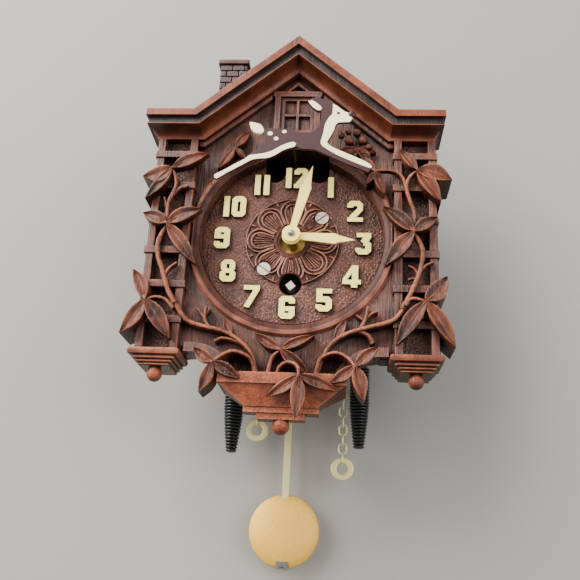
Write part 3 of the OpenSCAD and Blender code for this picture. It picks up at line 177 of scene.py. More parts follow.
def spread(tree, value, low, high, to_low=0.0, to_high=1.0):
    """Spreads a value from one range over another."""
    return add(tree, "MapRange", {"Value": value, "From Min": low, "From Max": high,
                                  "To Min": to_low, "To Max": to_high}).outputs[0]


def blend(tree, mask, first, second):
    """The first colour where the mask is nought, the second where it is one."""
    return add(tree, "Mix", {0: mask, 6: first, 7: second}, data_type="RGBA").outputs[2]


def noise(tree, place, scale, detail, roughness=0.5):
    """A cloudy pattern."""
    return add(tree, "TexNoise", {"Vector": place, "Scale": scale, "Detail": detail,
                                  "Roughness": roughness}).outputs[0]


def times(tree, colour, factor):
    """A colour or a place, scaled."""
    return add(tree, "VectorMath", {0: colour, "Scale": factor}, operation="SCALE").outputs[0]


def rubbed_wood():
    """Stained wood: dark in its pores, with painted shade in the gaps between its pebbles, worn to a
    redder tone where it is rubbed.
    """
    group, given, result = new_group(
        "rubbed_wood", {"Place": "Vector", "Rub": "Float", "Dark": "Color", "Body": "Color",
                        "Worn": "Color", "Grain": "Float", "Pebble": "Float"},
        {"Color": "Color", "Roughness": "Float", "Height": "Float"})
    mm = times(group, given["Place"], 1000.0)
    combed = add(group, "Mapping", {"Vector": mm, "Scale": (1.5, 0.45, 0.11)}).outputs[0]
    comb = noise(group, combed, 1.0, 3.0, 0.62)
    speck = noise(group, mm, 1.7, 3.0, 0.7)
    tone = spread(group, noise(group, mm, 0.13, 2.0), 0.38, 0.62)
    stones = add(group, "TexVoronoi", {"Vector": mm, "Scale": 1.15, "Randomness": 0.9})
    stain = blend(group, tone, given["Dark"], given["Body"])
    worn = reckon(group, "MULTIPLY", spread(group, speck, 0.3, 0.62), given["Rub"])
    worn = reckon(group, "MULTIPLY", worn, spread(group, tone, 0, 1, 0.55, 1.0), use_clamp=True)
    pores = reckon(group, "MULTIPLY", spread(group, comb, 0.36, 0.53, 1.0, 0.0), given["Grain"])
    # Painted shade in the gaps between the pebbles; the grain's pores are the wood's own dark
    pit_shade = spread(group, stones.outputs["Distance"], 0.15, 0.75)
    pit_shade = reckon(group, "MULTIPLY", pit_shade, given["Pebble"])
    hollow = reckon(group, "ADD", pores, pit_shade, use_clamp=True)
    shaded = times(group, blend(group, worn, stain, given["Worn"]), spread(group, hollow, 0, 1, 1.0, 0.4))
    group.links.new(shaded, result["Color"])
    group.links.new(spread(group, hollow, 0, 1, 0.34, 0.58), result["Roughness"])
    level = reckon(group, "SUBTRACT", reckon(group, "MULTIPLY", speck, 0.25), hollow)
    group.links.new(level, result["Height"])
    return group


def edge_wear():
    """A mask that grows on edges, where hands rub the stain off."""
    group, given, result = new_group("edge_wear", {"Least": "Float", "Most": "Float"}, {"Rub": "Float"})
    edge = add(group, "AmbientOcclusion", {"Distance": 0.0011}, samples=6, inside=True, only_local=True)
    rub = spread(group, edge.outputs["AO"], 0.95, 0.55, given["Least"], given["Most"])
    group.links.new(rub, result["Rub"])
    return group


def crevice_and_underside_shade():
    """Painted shade: colours darkened in crevices, where shade falls, and on faces that look down, away
    from the light.
    """
    group, given, result = new_group("crevice_and_underside_shade", {"Color": "Color", "Normal": "Vector"},
                                     {"Color": "Color"})
    nook = add(group, "AmbientOcclusion", {"Distance": 0.0024}, samples=8).outputs["AO"]
    facing = add(group, "SeparateXYZ", {0: given["Normal"]}).outputs["Z"]
    # Painted shade from nearness to other surfaces and from facing downward
    shade_factor = reckon(group, "MULTIPLY", spread(group, nook, 0.3, 0.92, 0.2, 1.0),
                   spread(group, facing, -0.85, -0.45, 0.3, 1.0))
    group.links.new(times(group, given["Color"], shade_factor), result["Color"])
    return group


def band():
    """A mask that is one where a value lies between two sizes in metres."""
    group, given, result = new_group(
        "band", {"Value": "Float", "Low": "Float", "High": "Float", "Soft": "Float"}, {"Mask": "Float"})
    low, high = ([reckon(group, way, given[end], given["Soft"]) for way in ("SUBTRACT", "ADD")]
                 for end in ("Low", "High"))
    inside = reckon(group, "MULTIPLY", spread(group, given["Value"], *low),
                    spread(group, given["Value"], *high, 1.0, 0.0))
    group.links.new(inside, result["Mask"])
    return group


RUBBED, EDGE_WEAR, PAINTED_SHADE, BAND = rubbed_wood(), edge_wear(), crevice_and_underside_shade(), band()


def finish_with(tree, shader, colour, height, strength, distance, roughness=None):
    """Feeds a finish to its shader: its colour, a shallow relief and perhaps its roughness."""
    tree.links.new(colour, shader.inputs["Base Color"])
    if roughness is not None:
        tree.links.new(roughness, shader.inputs["Roughness"])
    bump = add(tree, "Bump", {"Height": height, "Strength": strength, "Distance": distance})
    tree.links.new(bump.outputs[0], shader.inputs["Normal"])


def carved_wood(name, dark, body, worn, grain=0.6, pebble=0.0, rub="edges", depth=0.25, sheen=0.3):
    """A wood finish; rub says whether wear follows the piece's edges or its own rub attribute."""
    made, tree, shader = material(name, Specular_IOR_Level=sheen)
    coords = add(tree, "TexCoord").outputs
    if rub == "edges":
        rubbed = add(tree, "Group", {"Least": 0.18, "Most": 1.0}, node_tree=EDGE_WEAR).outputs["Rub"]
    else:
        rubbed = add(tree, "Attribute", attribute_name="rub").outputs["Fac"]
    wood = add(tree, "Group", {"Place": coords["Object"], "Rub": rubbed, "Dark": paint(dark),
                               "Body": paint(body), "Worn": paint(worn), "Grain": grain,
                               "Pebble": pebble}, node_tree=RUBBED)
    # Every wood gets painted shade in its crevices and on faces that look down
    shaded_colour = add(tree, "Group", {"Color": wood.outputs["Color"], "Normal": coords["Normal"]},
                node_tree=PAINTED_SHADE)
    finish_with(tree, shader, shaded_colour.outputs["Color"], wood.outputs["Height"], depth, 0.0006,
                wood.outputs["Roughness"])
    return made, tree, wood


def between(tree, value, low, high, soft=0.0002):
    """Places the band mask on a value."""
    return add(tree, "Group", {"Value": value, "Low": low, "High": high, "Soft": soft},
               node_tree=BAND).outputs["Mask"]


def from_dial(tree, place):
    """How far a place lies from the dial's axis."""
    moved = add(tree, "VectorMath", {0: place, 1: (0, 0, DIAL_DROP / 1000)}, operation="ADD").outputs[0]
    flat = add(tree, "VectorMath", {0: moved, 1: (1, 0, 1)}, operation="MULTIPLY").outputs[0]
    return add(tree, "VectorMath", {0: flat}, operation="LENGTH").outputs["Value"]


def recolour_by_mask(tree, wood, mask, plain, masked):
    """Gives a wood other colours where a mask is one."""
    for socket, first, second in zip(("Dark", "Body", "Worn"), plain, masked):
        if isinstance(second, str):
            second = paint(second)
        tree.links.new(blend(tree, mask, paint(first), second), wood.inputs[socket])


def panel_finish():
    """The panel's wood: combed grain, and pebbled in the dial and behind the trellis."""
    ground, sunk = ("3b2017", "653e30", "8a5240"), ("552a1b", "77432f", "8c523b")
    made, tree, wood = carved_wood("panel_ground", *ground, depth=0.5, sheen=0.4)
    place = add(tree, "TexCoord").outputs["Object"]
    split = add(tree, "SeparateXYZ", {0: place}).outputs
    dial = between(tree, from_dial(tree, place), -1, 0.0363)
    field = between(tree, reckon(tree, "ABSOLUTE", split["X"]), 0.0425, 0.0529)
    field = reckon(tree, "MULTIPLY", field, between(tree, split["Z"], -0.2, 0.0135))
    pebbled = reckon(tree, "MAXIMUM", dial, field)
    tree.links.new(pebbled, wood.inputs["Pebble"])
    tree.links.new(spread(tree, pebbled, 0, 1, 0.85, 0.05), wood.inputs["Grain"])
    recolour_by_mask(tree, wood, dial, ground, sunk)
    return made


def dress(node, finish):
    """Gives a carried-over solid its finish."""
    data = frame["nodes"][node].data
    data.materials.clear()
    data.materials.append(finish)


dress("front_panel", panel_finish())


# Roof moulding:
# A moulded cornice that follows the gable: a flat lip, a ribbed groove, a bead and a cove below
# it, with two dowel pegs on the eaves.

EAVES, RIDGE = 50.4, 86.2
PITCH = math.atan((RIDGE - EAVES) / 41)


def roof_corner(i, n):
    """Corner i of the line that lies n below the roof's top."""
    x = (-60.4, -41.0, 0.0, 41.0, 59.4)[i]
    z = RIDGE if i == 2 else EAVES
    if i in (1, 3):
        x += math.copysign(n * math.tan(PITCH / 2), -x)
    return Vector((x, 0, z - (n / math.cos(PITCH) if i == 2 else n)))


def loft(bm, rings, shut=True):
    """Skins from ring to ring, each with as many points, and shuts both ends."""
    first = loop = [bm.verts.new(p) for p in rings[0]]
    cap = bm.faces.new(loop)
    edges = list(cap.edges)
    if not shut:
        bm.faces.remove(cap)
    for ring in rings[1:]:
        made = bmesh.ops.extrude_edge_only(bm, edges=edges)["geom"]
        fresh = {g for g in made if isinstance(g, bmesh.types.BMVert)}
        edges = [g for g in made if isinstance(g, bmesh.types.BMEdge) and set(g.verts) <= fresh]
        following = []
        for v in loop:
            mate = next(e.other_vert(v) for e in v.link_edges if e.other_vert(v) in fresh)
            following.append(mate)
        loop = following
        for v, p in zip(loop, ring):
            v.co = p
    if shut:
        bmesh.ops.contextual_create(bm, geom=edges)
    return first, loop


def soften(bm, width, segments=2, angle=28):
    """Rounds every edge sharper than the angle."""
    bmesh.ops.dissolve_limit(bm, angle_limit=math.radians(0.6), verts=bm.verts, edges=bm.edges)
    sharp = [e for e in bm.edges if len(e.link_faces) == 2
             and e.calc_face_angle(0) > math.radians(angle)]
    bmesh.ops.bevel(bm, geom=sharp, offset=width, offset_type="OFFSET", segments=segments,
                    profile=0.5, affect="EDGES", clamp_overlap=True, material=-1)


def piece(name, bm, body, finish, nodes=(), smooth=35, seated=False):
    """Turns a finished bmesh into a piece that rides on a body of the clock."""
    if not seated:
        bmesh.ops.transform(bm, matrix=TO_KEYHOLE, verts=bm.verts)
    bmesh.ops.recalc_face_normals(bm, faces=bm.faces)
    mesh = bpy.data.meshes.new(name)
    bm.to_mesh(mesh)
    bm.free()
    mesh.materials.append(finish)
    mesh.polygons.foreach_set("use_smooth", [True] * len(mesh.polygons))
    mesh.set_sharp_from_angle(angle=math.radians(smooth))
    made = bpy.data.objects.new(name, mesh)
    made.modifiers.new("even_faces", "WEIGHTED_NORMAL").keep_sharp = True
    bpy.context.scene.collection.objects.link(made)
    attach(made, body)
    if nodes:
        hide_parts(*nodes)
    return made


ROOF_FRONT = [(16, 0), (16, 3.0), (14.2, 3.15), (14.2, 5.9), (14.9, 6.0), (14.9, 6.4)]
for k in range(9):
    turn = math.radians(90 * k / 8)
    ROOF_FRONT.append((14.2 - 6.2 * math.sin(turn), 6.45 + 3.15 * (1 - math.cos(turn))))
ROOF_BACK = [(-4, n) for _, n in reversed(ROOF_FRONT)]

LIP = ("532517", "7a3c24", "995335")
roof_finish, tree, wood = carved_wood("roof_wood", *LIP, grain=0.35, depth=0.3)
split = add(tree, "SeparateXYZ", {0: add(tree, "TexCoord").outputs["Object"]}).outputs
aside = reckon(tree, "ABSOLUTE", split["X"])
# How far a place lies under the roof's top, on the slopes and on the eaves, and along the roof
fall = reckon(tree, "MULTIPLY_ADD", aside, math.tan(PITCH), split["Z"])
fall = reckon(tree, "SUBTRACT", (RIDGE - DIAL_DROP) / 1000, fall)
fall = reckon(tree, "MULTIPLY", fall, math.cos(PITCH))
drop = reckon(tree, "SUBTRACT", (EAVES - DIAL_DROP) / 1000, split["Z"])
climb = reckon(tree, "MULTIPLY", split["Z"], math.sin(PITCH))
run = reckon(tree, "SUBTRACT", reckon(tree, "MULTIPLY", aside, math.cos(PITCH)), climb)
run = add(tree, "Mix", {0: reckon(tree, "GREATER_THAN", drop, fall), 2: run, 3: aside}).outputs[0]
# The groove band under the lip is painted near black with darker rib stripes: partly painted shade under
# the lip, partly its own dull grey-brown
groove = between(tree, reckon(tree, "MAXIMUM", fall, drop), 0.0031, 0.00585, 0.0001)
rib = spread(tree, reckon(tree, "SINE", reckon(tree, "MULTIPLY", run, 5200.0)), -1.0, 0.2)
recolour_by_mask(tree, wood, groove, LIP, [blend(tree, rib, paint(dark), paint(light)) for dark, light in
                                    (("170f0e", "2a1f1d"), ("211716", "3d2e2b"), ("2f2321", "4a3a36"))])
roof = bmesh.new()
rings = []
for i in range(5):
    ring = []
    for y, n in ROOF_FRONT + ROOF_BACK:
        corner = roof_corner(i, n)
        if i in (0, 4):
            # The moulding turns back to the wall at both ends
            depth = next(front for front, at in ROOF_FRONT if at >= n)
            corner.x -= math.copysign((16 - depth) * 0.5, corner.x)
        ring.append(corner - Vector((0, y, 0)))
    rings.append(ring)
ends = loft(roof, rings, shut=False)
for loop in ends:
    for k in range(len(ROOF_FRONT) - 1):
        bmesh.ops.contextual_create(roof, geom=[loop[k], loop[k + 1], loop[-2 - k], loop[-1 - k]])
soften(roof, 0.3)
for side in (-1, 1):
    peg = bmesh.ops.create_cone(roof, cap_ends=True, segments=24, radius1=1.8, radius2=1.6, depth=0.9)
    bmesh.ops.translate(roof, verts=peg["verts"], vec=(side * 48.4, -9.4, 50.8))
piece("roof_cornice", roof, "case", roof_finish, ["roof_moulding"])


# Chimney:
# A little chimney of brick courses with sunk joints and a wide cap. It is moulded apart, left
# dark, and stands on the roof's left slope.

chimney_finish = carved_wood("chimney_brick", "33211f", "463231", "4d3836", grain=0.1, pebble=0.3,
                             depth=0.4)[0]
cap_finish = carved_wood("chimney_cap", "412621", "593730", "6e4841", grain=0.1, pebble=0.2, depth=0.3)[0]
chimney = bmesh.new()


def block(bm, low, high):
    """A plain block between two corners."""
    made = bmesh.ops.create_cube(bm, size=1)["verts"]
    bmesh.ops.scale(bm, vec=Vector(high) - Vector(low), verts=made)
    bmesh.ops.translate(bm, vec=(Vector(high) + Vector(low)) / 2, verts=made)
    return made


BRICK_TOP, COURSES, COURSE_HIGH, MORTAR = 76.6, 9, 3.0, 0.15
for course in range(COURSES):
    top = BRICK_TOP - COURSE_HIGH * course
    joints = [-33.3, -30.4, -25.3, -21.8] if course % 2 else [-33.3, -28.0, -22.9, -21.8]
    for left, right in zip(joints, joints[1:]):
        block(chimney, (left + MORTAR, -9, top - 2.68), (right - MORTAR, -0.1, top))
block(chimney, (-32.6, -7.9, 50), (-22.5, -0.4, BRICK_TOP))
soften(chimney, 0.3)
slope = (roof_corner(2, 0) - roof_corner(1, 0)).normalized()
bmesh.ops.bisect_plane(chimney, geom=chimney.verts[:] + chimney.edges[:] + chimney.faces[:],
                       plane_co=roof_corner(1, 0.0), plane_no=Vector((slope.z, 0, -slope.x)),
                       clear_outer=True)
bmesh.ops.holes_fill(chimney, edges=[e for e in chimney.edges if e.is_boundary])
piece("chimney_bricks", chimney, "case", chimney_finish, ["chimney"])
cap = bmesh.new()
block(cap, (-34.2, -9.8, BRICK_TOP + 0.1), (-21.0, 0.7, BRICK_TOP + 2.5))
soften(cap, 0.6, 4)
piece("chimney_top", cap, "case", cap_finish)


# Window and trellis:
# The little gable window and the laths of the trellis are moulded with the panel. Each edge is a
# little rounded by the mould, and rubbed lighter where hands have polished it.


def rounded(node, width, smooth=35, finish=None, thinner=0):
    """A copy of a solid with its edges rounded, in its place."""
    bm = bmesh.new()
    bm.from_mesh(frame["nodes"][node].data)
    bmesh.ops.remove_doubles(bm, verts=bm.verts, dist=2e-6)
    if thinner:
        bmesh.ops.recalc_face_normals(bm, faces=bm.faces)
        bm.normal_update()
        for v, inward in [(v, -v.normal * thinner / 1000) for v in bm.verts]:
            v.co += inward
    if width:
        soften(bm, width / 1000)
    return piece(node + "_piece", bm, frame["nodes"][node]["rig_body"], finish, [node], smooth,
                 seated=True)


trim_finish = carved_wood("trim_wood", "361911", "603325", "985942", depth=0.4, sheen=0.4)[0]
rounded("gable_window", 0.16, finish=trim_finish)
rounded("trellis", 0.35, finish=trim_finish)


# Feet:
# Two corbels of stepped mouldings with a turned knob stand under the trellis. They are moulded
# with the panel and stained a warmer brown.

feet_finish = carved_wood("feet_wood", "5a2919", "8c4a2f", "aa6540", grain=0.45, depth=0.3)[0]
FOOT_MIDDLE, FOOT_TOP = 47.2, -48.9
# How far each line of the mouldings lies inside the top one, and how far below it
FOOT_STEPS = ((1.0, 0), (0.3, -0.25), (0, -0.9), (0, -1.7), (0.3, -2.35), (1.0, -2.6), (1.9, -2.7),
              (2.0, -2.9), (1.7, -3.1), (1.7, -3.7), (2.0, -3.9), (3.0, -4.0), (3.1, -4.1), (2.8, -4.3),
              (2.8, -4.8), (3.1, -5.0), (3.9, -5.1), (4.0, -5.2), (3.8, -5.4), (3.8, -5.8), (4.2, -6.1))
feet = bmesh.new()
for side in (-1, 1):
    middle = side * FOOT_MIDDLE
    rings = []
    for inset, z in FOOT_STEPS:
        half, front = 9.6 - inset, -13.9 + inset * 0.8
        rings.append([Vector((middle + a * half, y, FOOT_TOP + z)) for a, y in
                      ((-1, 4), (-1, front + 1), (-0.97, front + 0.3), (-0.9, front), (0.9, front),
                       (0.97, front + 0.3), (1, front + 1), (1, 4))])
    loft(feet, rings)
    knob = bmesh.ops.create_uvsphere(feet, u_segments=28, v_segments=18, radius=2.8)["verts"]
    for v in knob:
        if v.co.z > 0:
            v.co.z *= 1.25
    bmesh.ops.translate(feet, verts=knob, vec=(middle, -7.2, FOOT_TOP - 8.6))
piece("corbel_feet", feet, "case", feet_finish, ["feet"], 40)


# Bracket:
# The shelf under the dial, moulded with the panel. Its face is pebbled and rubbed to a warm red
# brown, and a small finial hangs below it.

bracket_finish = carved_wood("bracket_wood", "5f2b19", "974c2f", "bd6f4c", grain=0.2, pebble=0.5,
                             depth=0.35)[0]
rounded("bracket", 0.4, finish=bracket_finish)


# Gable strips:
# A narrow trim board lies on the gable along each slope, right under the roof's cove. It is
# moulded with the panel and stained like the trellis.

strips = bmesh.new()
for side in (-1, 1):
    near = roof_corner(2 + side, 9.6)
    lean = (roof_corner(2, 9.6) - near) / abs(near.x)
    rings = []
    for x in (10.8, abs(near.x), 39.4):
        level = near + lean * (abs(near.x) - x) if x < abs(near.x) else near
        rings.append([Vector((side * x, y, level.z - n)) for y, n in
                      ((-4, 0), (-6.2, 0), (-6.4, 0.4), (-6.4, 2.1), (-5.9, 2.6), (-4, 2.6))])
    loft(strips, rings)
soften(strips, 0.2)
piece("gable_strips", strips, "case", trim_finish)


# Dial ring:
# A raised ring with a rounded crest frames the sunk dial, moulded with the panel. Its inner
# slope is stained darker, and its crest is rubbed light.

RING_DARK, RING_LIGHT = ("2a1410", "4a2a22", "5a352b"), ("5a3026", "8a5444", "a46b58")
ring_finish, tree, wood = carved_wood("ring_wood", *RING_DARK, grain=0.3, depth=0.35, sheen=0.15)
reach = from_dial(tree, add(tree, "TexCoord").outputs["Object"])
recolour_by_mask(tree, wood, between(tree, reach, 0.0387, 0.05, 0.0003), RING_DARK, RING_LIGHT)
# How far the ring stands out from the ground, from its inner to its outer edge
RING_SHAPE = ((36.3, 0), (36.6, 0.5), (37.9, 1.15), (39.3, 1.4), (40.2, 1.2), (41.2, 0))
RING_GROUND, RING_MOST = 42, 1.5
ring = bmesh.new()
ring.from_mesh(frame["nodes"]["dial_ring"].data)
bmesh.ops.remove_doubles(ring, verts=ring.verts, dist=2e-6)
for v in ring.verts:
    reach = math.hypot(v.co.x * 1000, v.co.z * 1000 + DIAL_DROP)
    low, high = next(((a, b) for a, b in zip(RING_SHAPE, RING_SHAPE[1:]) if reach <= b[0]),
                     RING_SHAPE[-2:])
    rise = low[1] + (high[1] - low[1]) * (reach - low[0]) / (high[0] - low[0])
    v.co.y = -(RING_GROUND + min(max(rise, 0), RING_MOST)) / 1000
soften(ring, 0.0003, 3, 12)
piece("dial_ring_piece", ring, "case", ring_finish, ["dial_ring"], 60, seated=True)


# Vines and leaves:
# Creeper stems climb the trellis and run under the dial to the bracket. Each leaf is carved with
# a thin midrib between two dished halves and a sharp raised edge, and stands on a straight wall.

LEAF_ACROSS, LEAF_ALONG = 12, 18


def smoothed(points, steps=5):
    """Points on a smooth curve through a few given ones."""
    fine = []
    last = len(points) - 1
    for i in range(last):
        a, b, c, d = points[max(i - 1, 0)], points[i], points[i + 1], points[min(i + 2, last)]
        for k in range(steps):
            t = k / steps
            fine.append(0.5 * (2 * b + (c - a) * t + (2 * a - 5 * b + 4 * c - d) * t * t
                               + (3 * b - a - 3 * c + d) * t ** 3))
    return fine + [points[last]]


def leaf(bm, root, tip, width, front, back, sway=0.0):
    """One carved leaf from its root to its tip, its front that far from the numerals' plane."""
    rub = bm.verts.layers.float["rub"]
    root, tip = Vector(root), Vector(tip)
    along = (tip - root).normalized()
    across = Vector((-along.y, along.x))
    length = (tip - root).length
    grid = bmesh.ops.create_grid(bm, x_segments=LEAF_ALONG, y_segments=LEAF_ACROSS, size=1)["verts"]
    for v in grid:
        s, t = (v.co.x + 1) / 2, v.co.y
        half = width / 2 * max(math.sin(math.pi * s ** 0.85), 0) ** 0.85
        half = max(half, 0.1 + 0.25 * (1 - s))
        side = abs(t)
        bent = sway * math.sin(math.pi * s)
        rib = math.exp(-(t * half / 0.2) ** 2) * (1 - s)
        edge = max(0.0, (side - 0.88) / 0.12) ** 2
        dish = 0.95 * (1 - side) ** 1.3 * min(1.0, half / 1.2)
        droop = 0.5 * (1 - math.sin(math.pi * min(1.0, 0.18 + s * 0.85))) + 0.35 * s ** 3
        drop = dish - 0.6 * rib + 0.25 * edge + droop
        at = root + along * (length * s) + across * (half * t + bent)
        v.co = (at.x, -front + max(drop, -0.1), at.y)
        v[rub] = min(1.0, max(0.0, 0.06 + 0.94 * max(0, (side - 0.6) / 0.4) ** 1.5 + 0.75 * rib))
    rim = [e for e in {e for v in grid for e in v.link_edges} if e.is_boundary]
    made = bmesh.ops.extrude_edge_only(bm, edges=rim)["geom"]
    for v in {g for g in made if isinstance(g, bmesh.types.BMVert)}:
        v.co.y += 0.28
        v[rub] = 0.25
    rim = [g for g in made if isinstance(g, bmesh.types.BMEdge) and g.is_boundary]
    made = bmesh.ops.extrude_edge_only(bm, edges=rim)["geom"]
    foot = {g for g in made if isinstance(g, bmesh.types.BMVert)}
    for v in foot:
        v.co.y = -back
        v[rub] = 0.0
    bmesh.ops.holes_fill(bm, edges=[g for g in made if isinstance(g, bmesh.types.BMEdge)
                                    and set(g.verts) <= foot])


def stem(bm, path, thick, thin, front, back, knob=1.0, uneven=1, steps=5):
    """A round-topped stem along a curve; front may be one depth or one for each end."""
    rub = bm.verts.layers.float["rub"]
    ends = front if isinstance(front, tuple) else (front, front)
    points = smoothed([Vector(p) for p in path], steps)
    last = len(points) - 1
    rings, sides = [], 10
    for i, p in enumerate(points):
        run = (points[min(i + 1, last)] - points[max(i - 1, 0)]).normalized()
        width = (thick + (thin - thick) * i / last) * (1 + 0.13 * uneven * math.sin(2.3 * i + path[0][0]))
        if i > last - 3:
            width *= knob
        top = ends[0] + (ends[1] - ends[0]) * i / last
        ring = []
        for k in range(sides):
            turn = 2 * math.pi * k / sides
            rise = math.sin(turn)
            if rise > 0:
                y = -top + width * 0.5 * (1 - rise)
            elif rise > -0.5:
                y = min(-back, -top + width * 0.5)
            else:
                y = -back
            reach = math.cos(turn) * width / 2
            ring.append(Vector((p.x - run.y * reach, y, p.y + run.x * reach)))
        rings.append(ring)
    before = len(bm.verts)
    loft(bm, rings)
    bm.verts.ensure_lookup_table()
    for v in bm.verts[before:]:
        lift = (-v.co.y - back) / max(min(ends) - back, 0.5)
        v[rub] = min(1.0, max(0.0, 1.6 * lift - 0.75))


def carving():
    """An empty mesh whose points hold how much they are rubbed."""
    bm = bmesh.new()
    bm.verts.layers.float.new("rub")
    return bm


leaf_finish = carved_wood("leaf_wood", "281009", "5b2d1b", "a96447", grain=0.45, rub="attribute",
                          depth=0.45, sheen=0.22)[0]
# How far the fronts of trellis, leaves, ground, shelf and shelf leaves stand before the numerals
TRELLIS, OUTER, GROUND, SHELF, OVER = 8.8, 12.9, 3.9, 17.05, 18.9

vines = carving()
SPRAYS = (
    ((-48.2, 25.1), ((-59.6, 21.4, 6.4, 1.2), (-57.6, 11.7, 4, 0.4), (-34.1, 32.3, 4.6, 0.5))),
    ((-47.8, 1), ((-57.6, 5.4, 4.7, -0.5), (-34.8, 7.6, 5.2, 0.8), (-35.3, -15.5, 5, 0.3))),
    ((-52.7, -30.2), ((-58.6, -18.3, 4.7, -0.7), (-60.8, -43.6, 5.2, 0.6), (-42.1, -45, 5.8, 0.5))),
    ((48.1, 25.4), ((41.4, 34.5, 3.6, -0.3), (61.4, 21.4, 6.4, 1.2), (57, 12, 5.2, 0.5))),
    ((46.7, -0.8), ((35.1, 9.5, 5.2, -0.6), (55.6, 5.4, 4.3, 0.5), (36, -14.6, 5.2, -0.4))),
    ((50.6, -28.5), ((58.6, -18.6, 6.4, -0.8), (60.9, -45.5, 5.2, 0.5), (40.1, -45, 5.4, -0.6))),
)
for root, leaves in SPRAYS:
    for x, z, width, sway in leaves:
        leaf(vines, root, (x, z), width * 1.08, OUTER, -3.9 if abs(x) > 56.5 else TRELLIS, sway)
SHELF_SPRAYS = (
    ((-24.4, -55.2), ((-31.5, -50, 4, SHELF), (-14.6, -60.6, 4, SHELF), (-28.3, -65.9, 4, 9))),
    ((25.4, -55.2), ((33.5, -47.8, 3.8, SHELF), (17, -61.2, 3.8, SHELF), (28.5, -66.8, 4.6, 9))),
    ((6, -59.1), ((-5, -66.8, 3.7, SHELF), (5.4, -73.8, 4.7, SHELF), (19.8, -64, 3.7, SHELF))),
)
for root, leaves in SHELF_SPRAYS:
    for x, z, width, back in leaves:
        leaf(vines, root, (x, z), width * 1.1, OVER, back, 0.3)
LOW_SPRAYS = (
    ((-24.2, 37.4), ((-31, 27.6, 3), (-18.8, 45.4, 3.4), (-19.6, 31.6, 2.2)), 8.2),
    ((32.1, 25.6), ((26.4, 32.6, 3.4), (35.6, 16.1, 3.8), (28.7, 20.1, 2.2)), 11.2),
    ((-1.7, -47.4), ((-11.3, -41.4, 3.4), (10.6, -41.4, 3.2), (9.2, -56.4, 4)), 9.8),
    ((25.2, 37.6), ((17.4, 37.2, 3), (32.4, 36.6, 3.4), (30.6, 32, 3.4), (20.4, 33.8, 3)), 7.4),
    ((-19.9, -42), ((-22.8, -35.8, 2.8),), 9.4),
    ((18.4, -42.8), ((22, -35.2, 3.2),), 9.4),
)
for root, leaves, front in LOW_SPRAYS:
    for x, z, width in leaves:
        leaf(vines, root, (x, z), width * 1.08, front, GROUND, 0.2)
